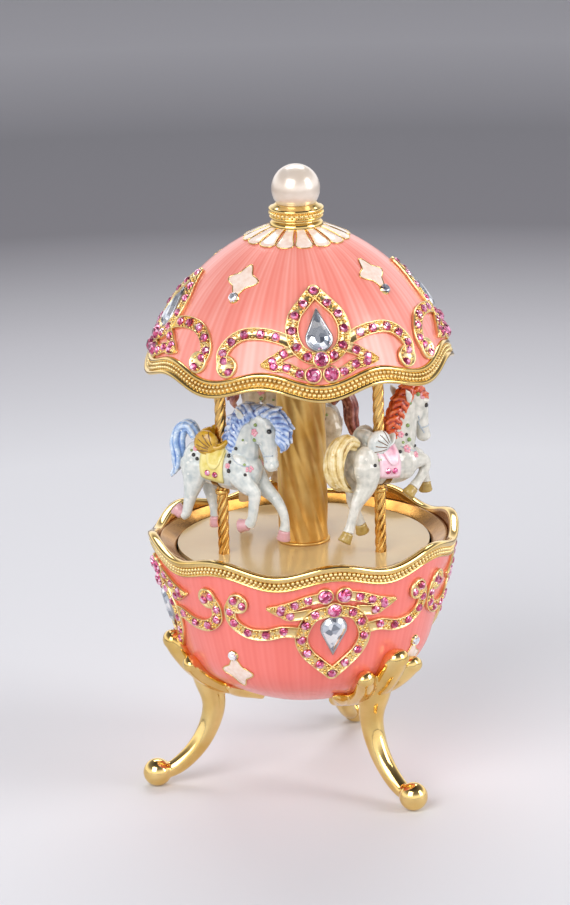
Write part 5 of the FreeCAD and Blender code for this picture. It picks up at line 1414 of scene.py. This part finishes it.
def horse_body(pose):
    """Trunk, neck, head, legs and ears, with lumps for haunches, shoulders, jaws, brows and nostrils."""
    shapes = [side_limb(trunk), side_limb(pose.neck), side_limb(pose.head)]
    for y, line in pose.legs:
        (x0, z0, depth, width), (x1, z1, *_) = line[:2]
        back = Vector((x0 - x1, z0 - z1)).normalized() * (0.7 * depth)
        shapes.append(side_limb([(x0 + back.x, z0 + back.y, 0.3 * depth, 0.3 * width), *line[:-1]], y))
    poll_x, poll_z = pose.head[1][:2]
    cheek_x, cheek_z = pose.head[2][:2]
    nose_x, nose_z = pose.head[5][:2]
    for side in (-1, 1):
        shapes.append(ball(Vector((-5.6, side * 2.3, 1.8)), (3.9, 2.8, 5.0)))
        shapes.append(ball(Vector((6.2, side * 2.4, 0.4)), (3.6, 2.6, 4.8)))
        shapes.append(ball(Vector((cheek_x - 1.2, side * 1.5, cheek_z - 1.6)), (1.9, 1.05, 2.3)))
        shapes.append(ball(Vector((cheek_x + 1.5, side * 1.75, cheek_z + 1.0)), (1.0, 0.6, 0.6)))
        shapes.append(ball(Vector((nose_x + 0.5, side * 1.1, nose_z + 0.1)), (0.9, 0.6, 0.8)))
        ear = [(Vector((poll_x - 1.9, side * 2.0, poll_z - 1.0)), 0.6, 0.5),
               (Vector((poll_x - 2.5, side * 2.9, poll_z + 0.4)), 1.05, 0.5),
               (Vector((poll_x - 3.2, side * 3.2, poll_z + 1.7)), 0.8, 0.4),
               (Vector((poll_x - 3.8, side * 3.1, poll_z + 2.8)), 0.15, 0.15)]
        shapes.append(limb(ear, corners=10))
    return sculpted("horse", shapes, BODY_VOXEL, 3)


def horse_hooves(pose):
    shapes = []
    for y, line in pose.legs:
        (x0, z0, *_), (x1, z1, *_) = line[-2:]
        down = Vector((x1 - x0, 0, z1 - z0)).normalized()
        top = Vector((x0, y, z0)) + down * 0.3
        shapes.append(limb([(top + down * s, r, r * 0.92) for s, r in HOOF_STATIONS]))
    return mesh_of("hooves", shapes)


print("a body is joined in cubes of", BODY_VOXEL, "mm")

# %% [markdown]
# ### Mane and tail
# The casting has a few plump locks, not single hairs. Hair curves would look like fur at this size,
# so a lock is a tapering limb that follows a curve, and a voxel remesh melts the roots together.

# %% Manes and tails
HAIR_VOXEL = 0.18


def lock(points, radius):
    """A plump lock of hair along a row of points, full near its root and fine at its tip."""
    line = curve_through([tuple(point) for point in points], 4)
    path = []
    for k, spot in enumerate(line):
        t = k / (len(line) - 1)
        width = radius * (0.6 + 0.4 * min(1.0, 3.0 * t)) * (1.0 - 0.75 * t ** 2.5)
        path.append((Vector(spot), width, width))
    return limb(path, Vector((0.3, 0.9, 0.3)), 10)


def horse_mane(pose, fullness):
    """Locks combed over the crest, back along the neck and forward over the brow."""
    crest = curve_through(pose.crest, 2)
    last = len(crest) - 1
    shapes = [limb([(Vector((x, 0, z)), 1.1 * fullness, 1.6 * fullness) for x, z in crest])]
    for i, (x, z) in enumerate(crest):
        (x0, z0), (x1, z1) = crest[max(i - 1, 0)], crest[min(i + 1, last)]
        along = Vector((x1 - x0, 0, z1 - z0)).normalized()
        outward = Vector((-along.z, 0, along.x))
        flow = along if i > pose.forelock * last else -along
        curl = math.sin(2.4 * i)
        root = -2.2 if flow != along else -1.2
        swept = [(root, 1.9, -0.6), (-0.5, 1.8, 0.4 + 0.4 * curl), (0.7, 1.1, 1.7),
                 (0.9 + 0.8 * curl, 0.8, 3.3)]
        hanging = [(-0.3, 1.5, 0.0), (-1.3, 2.4, 0.9 + 0.3 * curl), (-2.7, 2.6, 1.2),
                   (-3.5, 2.5, 2.6 + 0.5 * curl)]
        hair = [(swept, 0.95)] + ([(hanging, 0.8)] if i < pose.forelock * last else [])
        for side in (-1, 1):
            for steps, radius in hair:
                combed = [outward * out + Vector((0, side * y, 0)) + flow * down for out, y, down in steps]
                points = [Vector((x, 0, z)) + step * fullness for step in combed]
                shapes.append(lock(points, radius * fullness))
    return sculpted("mane", shapes, HAIR_VOXEL, 1)


def horse_tail(pose):
    """Strands laid round the line of the tail that wind slowly about each other."""
    line = curve_through(pose.tail, 4)
    last = len(line) - 1
    shapes = []
    for strand in range(pose.strands):
        path = []
        for k, (x, z, depth, width) in enumerate(line):
            (x0, z0, *_), (x1, z1, *_) = line[max(k - 1, 0)], line[min(k + 1, last)]
            along = Vector((x1 - x0, 0, z1 - z0)).normalized()
            a = 2 * math.pi * strand / pose.strands + 1.3 * k / last
            wave = 0.3 * math.sin(9.0 * k / last + 1.9 * strand)
            outward = Vector((-along.z, 0, along.x)) * (0.66 * depth * math.cos(a) + wave)
            centre = Vector((x, 0.66 * width * math.sin(a), z)) + outward
            centre += along * (1.5 * math.sin(1.9 * strand) * (k / last) ** 3)
            path.append((centre, 0.42 * depth + 0.05, 0.42 * width + 0.05))
        shapes.append(limb(path, corners=10))
    return sculpted("tail", shapes, HAIR_VOXEL, 1)


print("strands in a tail:", bowed.strands, "or", raised.strands)

# %% [markdown]
# ### Saddle, harness and painted marks
# Straps are lines of paint, and spots, flowers and leaves are thick dabs of it. A painted texture
# would need the skin unfolded flat, so each line is a thin limb and each dab a small bead, laid where
# a pin pushed in from the side would meet the skin.

# %% Places on a skin
def skin_of(mesh):
    """A search tree of a mesh, to find places on its surface."""
    edit = bmesh.new()
    edit.from_mesh(mesh)
    tree = BVHTree.FromBMesh(edit)
    edit.free()
    return tree


PIN_START = 20.0
LINE_CORNERS = 6


def on_skin(skin, x, z, side):
    """Where a pin pushed in from one side at (x, z) meets a skin, and the normal there."""
    spot, normal, *_ = skin.ray_cast(Vector((x, side * PIN_START, z)) * MM, Vector((0, -side, 0)))
    return (spot / MM, normal) if spot else (Vector((x, 0, z)), Vector((0, side, 0)))


def drawn(skin, lines, radius):
    """Thin painted lines on both sides of a skin, each from rows of (x, z)."""
    shapes = []
    for side in (-1, 1):
        for line in lines:
            spots = [on_skin(skin, x, z, side)[0] for x, z in curve_through(line, 5)]
            path = [(spot, radius, radius) for spot in spots if abs(spot.y) > 0.5]
            shapes.append(limb(path, Vector((0.2, 1, 0.1)), LINE_CORNERS))
    return shapes


print("a pin starts", PIN_START, "mm from the middle of a horse")

# %% Saddles
FAN_APEX = (0.4, 5.4)
FAN_ANGLES = (112.0, 130.0, 148.0, 166.0, 184.0)
FAN_REACH = (1.6, 2.8, 4.0, 5.0)


def saddle_mesh():
    """Seat, pommel and a cantle that curves down into a rounded fender on each side."""
    shapes = [side_limb(seat_line), ball(Vector((-4.0, 0.0, 7.4)), (1.7, 4.4, 2.6))]
    for side in (-1, 1):
        shapes.append(ball(Vector((-2.4, side * 3.2, 6.8)), (3.5, 1.8, 3.4)))
    return sculpted("seat", shapes, BODY_VOXEL, 4)


def fan_lines():
    """Lines that fan out over the sides of a saddle."""
    lines = []
    for angle in FAN_ANGLES:
        x, z = math.cos(math.radians(angle)), math.sin(math.radians(angle))
        lines.append([(FAN_APEX[0] + x * r, FAN_APEX[1] + z * r) for r in FAN_REACH])
    return lines


print("lines on each side of a saddle:", len(fan_lines()))

# %% Painted marks
Marks = namedtuple("Marks", "dots flowers leaves straps")
bowed_marks = Marks(
    dots=[(14.8, 11.4, 0.68), (5.9, 6.3, 0.5), (4.0, 4.3, 0.6), (4.8, 3.0, 0.5), (4.6, 0.8, 0.6),
          (9.0, 0.2, 0.45), (-5.3, 3.9, 0.55), (-4.3, 3.0, 0.5)],
    flowers=[(10.8, 10.8, 0.95), (9.6, 1.4, 0.8), (4.2, 2.0, 0.7), (-5.0, 5.4, 0.65)],
    leaves=[(11.2, 12.8, 0.5), (10.8, 8.9, 0.55), (7.7, 8.6, 0.35), (8.6, 2.6, 0.4), (-6.0, 4.9, 0.4)],
    straps=[[(4.4, 4.6), (6.2, 3.4), (8.2, 2.4), (10.0, 2.0)],
            [(10.8, 8.6), (12.4, 5.6), (13.6, 3.2)], [(12.4, 4.6), (13.8, 4.8), (15.2, 5.0)]])
raised_marks = Marks(
    dots=[(13.4, 13.6, 0.62), (-5.2, 2.0, 0.5), (9.8, 3.6, 0.45), (6.4, 7.4, 0.45), (3.8, 3.6, 0.5)],
    flowers=[(-3.1, 5.0, 0.9), (4.9, 7.6, 0.8), (5.8, 4.0, 0.95), (12.4, 16.2, 0.9), (8.2, 2.2, 0.75)],
    leaves=[(-3.2, 2.9, 0.6), (7.1, 6.0, 0.6), (7.0, 9.6, 0.55), (11.0, 16.8, 0.6), (8.3, 15.0, 0.45),
            (5.2, 5.6, 0.4)],
    straps=[[(4.4, 4.8), (6.2, 3.8), (8.2, 3.0), (10.0, 2.6)],
            [(10.6, 11.4), (12.0, 8.6), (13.3, 6.2)], [(12.2, 7.6), (13.6, 7.8), (15.0, 8.0)]])
PETALS_OF_FLOWER = 5
PETAL_SPREAD = 0.62
JEWEL_PLACES = (-1.2, 0.9)
JEWEL_ANGLE = 98.0
JEWEL_LIFT = 0.6
JEWEL = 0.8


def horse_marks(marks, skin):
    """Places of painted dots, flowers and leaves and of jewels, as (point, normal, radius) by name."""
    spots = {"black": [], "pink": [], "green": [], "jewel": []}
    for side in (-1, 1):
        for name, places in (("black", marks.dots), ("green", marks.leaves)):
            spots[name] += [(*on_skin(skin, x, z, side), size) for x, z, size in places]
        for x, z, size in marks.flowers:
            for k in range(PETALS_OF_FLOWER):
                a = 2 * math.pi * k / PETALS_OF_FLOWER
                reach = PETAL_SPREAD * size
                spot = on_skin(skin, x + reach * math.cos(a), z + reach * math.sin(a), side)
                spots["pink"].append((*spot, 0.5 * size))
        for x in JEWEL_PLACES:
            spot = on_trunk(x, side * JEWEL_ANGLE, JEWEL_LIFT)
            spots["jewel"].append((spot, Vector((0, side, 0)), JEWEL))
    return spots


print("flowers on a side:", len(bowed_marks.flowers), "or", len(raised_marks.flowers))

# %% [markdown]
# ### Paint
# The castings are painted cold, after they are cast. The colour is darker in the hollows and paler on the
# ridges, following the relief of the mesh, which Cycles gives as Pointiness: painted shade and painted
# highlights, over paint that gathers in the hollows and wears off the ridges. Noise adds the strokes of the
# brush.

# %% Paint for the horses
BRUSH_STROKE = 1.8
STROKE_SHARE = 0.14
FLAT = 0.5 + STROKE_SHARE / 2
RIDGE = 0.04


# Cold paint on a casting, uneven from the brush: darker in the hollows and paler on the ridges, as painted
# shade and painted highlight over paint that gathers in the hollows.
def cold_paint_and_shade(name, hollow, middle, ridge):
    material, tree, shader, place = finish(name, middle, 0.25, Coat_Weight=0.5, Coat_Roughness=0.08)
    surface = add(tree, "ShaderNodeNewGeometry")
    strokes = add(tree, "ShaderNodeTexNoise", {"Scale": per_mm(BRUSH_STROKE), "Detail": 4.0},
                  {"Vector": place})
    relief = add(tree, "ShaderNodeMath", {1: STROKE_SHARE},
                 {0: strokes.outputs["Fac"], 2: surface.outputs["Pointiness"]}, operation="MULTIPLY_ADD")
    shades = add(tree, "ShaderNodeValToRGB", links={"Fac": relief.outputs[0]},
                 stops=[(FLAT - RIDGE, hollow), (FLAT, middle), (FLAT + RIDGE, ridge)])
    tree.links.new(shades.outputs["Color"], shader.inputs["Base Color"])
    return material


# Each part has three colours: painted shade for the hollows, its paint, and a painted highlight for the
# ridges.
paints = {
    "horse_blue": dict(coat=("#AAB5B8", "#CBD0CC", "#E4E4DE"), mane=("#465A9A", "#7F9DD2", "#D2DEF0"),
                       tail=("#5A7CBC", "#8FB0DC", "#DCE8F2"), seat=("#7A5608", "#BE901C", "#D2A83A"),
                       cloth=("#A68F2C", "#DCC860", "#ECDE92"), hoof=("#84485A", "#BE848E", "#D8A4A8")),
    "horse_red": dict(coat=("#ACADA5", "#CCC9BE", "#E4E0D6"), mane=("#7A1A06", "#C8441A", "#E27038"),
                      tail=("#9A7430", "#DCC07C", "#EEDFB4"), seat=("#98A09E", "#CCD0CC", "#E6E6E2"),
                      cloth=("#C27A90", "#EBAFC0", "#F6D2DA"), hoof=("#523E10", "#947634", "#B89A54")),
    "horse_brown": dict(coat=("#A8997C", "#CFC3AA", "#E0D6C0"), mane=("#4E1E1A", "#8E4C42", "#BE8A7C"),
                        tail=("#451612", "#7E382C", "#B57464"), seat=("#6E8258", "#A6B78A", "#C6D2AE"),
                        cloth=("#A8863A", "#E0C87E", "#F0E0AC"), hoof=("#5E442A", "#A88458", "#CBAE86"))}
BLACK_PAINT = enamel("black paint", [(0.3, "#101012"), (0.7, "#26262A")], 1.0)
PINK_PAINT = enamel("pink paint", [(0.3, "#DE8A9C"), (0.7, "#F4B8C4")], 0.6)
GREEN_PAINT = enamel("green paint", [(0.3, "#64803C"), (0.7, "#A2B874")], 0.6)
BROWN_PAINT = enamel("brown paint", [(0.3, "#5A3A16"), (0.7, "#85592A")], 1.0)
GREY_PAINT = enamel("grey paint", [(0.3, "#A4AEB6"), (0.7, "#C4CCD2")], 1.0)
print("paints on a horse:", list(paints["horse_blue"]))

# %% Place the horses
HORSE_HEIGHT = 22.6
FAN_LINE = 0.13
STRAP = 0.2


def carried(mesh, azimuth, yaw):
    """Carries a mesh made round a post to that post on the carousel."""
    place = Matrix.Translation(polar(POST_CIRCLE, azimuth, TURNTABLE_TOP + HORSE_HEIGHT) * MM)
    mesh.transform(place @ Matrix.Rotation(math.radians(azimuth + yaw), 4, "Z"))
    return mesh


fullnesses = (1.0, 0.8, 1.0)
yaws = (34.0, -22.0, 0.0)
riders = zip(paints.items(), (bowed, raised, bowed), (bowed_marks, raised_marks, bowed_marks), fullnesses,
             post_azimuths, yaws)
for (name, paint), pose, marks, fullness, azimuth, yaw in riders:
    slot = name.replace("horse_", "") + "_horse_enamel"
    coats = {label: cold_paint_and_shade(name + " " + label + " paint", *shades) for label, shades in paint.items()}
    body = horse_body(pose)
    seat = saddle_mesh()
    skin = skin_of(body)
    girth_shapes = [draped(-0.9, 0.9, angle=178.0, lift=0.3, thick=0.6)]
    girth_shapes += drawn(skin_of(seat), fan_lines(), FAN_LINE)
    cloth_shapes = [draped(-3.5, 2.9, angle=120.0, lift=0.5),
                    draped(-1.8, 2.6, angle=84.0, lift=0.95, square=0.55)]
    parts = [("mane", horse_mane(pose, fullness), coats["mane"]),
             ("tail", horse_tail(pose), coats["tail"]),
             ("seat", seat, coats["seat"]),
             ("cloth", mesh_of("cloth", cloth_shapes), coats["cloth"]),
             ("hooves", horse_hooves(pose), coats["hoof"]),
             ("girth", mesh_of("girth", girth_shapes), BROWN_PAINT),
             ("harness", mesh_of("harness", drawn(skin, marks.straps, STRAP)), GREY_PAINT)]
    spots = horse_marks(marks, skin)
    for label, shape, material in (("black", BEAD, BLACK_PAINT), ("pink", BEAD, PINK_PAINT),
                                   ("green", BEAD, GREEN_PAINT), ("jewel", STONE, PINK_GLASS)):
        parts.append((label, set_on(name + label, spots[label], shape, material), material))
    piece(name + "_casting", carried(body, azimuth, yaw), coats["coat"], "carousel", [name])
    for label, mesh, material in parts:
        piece(name + "_" + label, carried(mesh, azimuth, yaw), material, "carousel")
    print(name, "pieces:", len(parts) + 1)

# %% [markdown]
# ## What keeps its CAD shape
# The turntable, the ceiling plate and the whole movement keep their CAD solids and only get a
# finish, chosen by the material slot that the record gives each node.

# %% Finish the CAD nodes that show
slot_finish = {"cream_enamel": TABLE_ENAMEL, "gilt_ceiling": SATIN_GOLD, "machined_brass": MACHINED_BRASS,
               "turned_steel": TURNED_STEEL}
kept = 0
for row in frame["record"]["subparts"]:
    node = nodes[row["node"]]
    if not node.hide_render:
        node.data.materials.clear()
        node.data.materials.append(slot_finish[row["material_slot"]])
        kept += 1
print("CAD nodes that keep their shape:", kept, "new pieces:", len(pieces_made))

# %% Remove the templates and finish
for helper in (BEAD, STONE):
    bpy.data.objects.remove(helper)
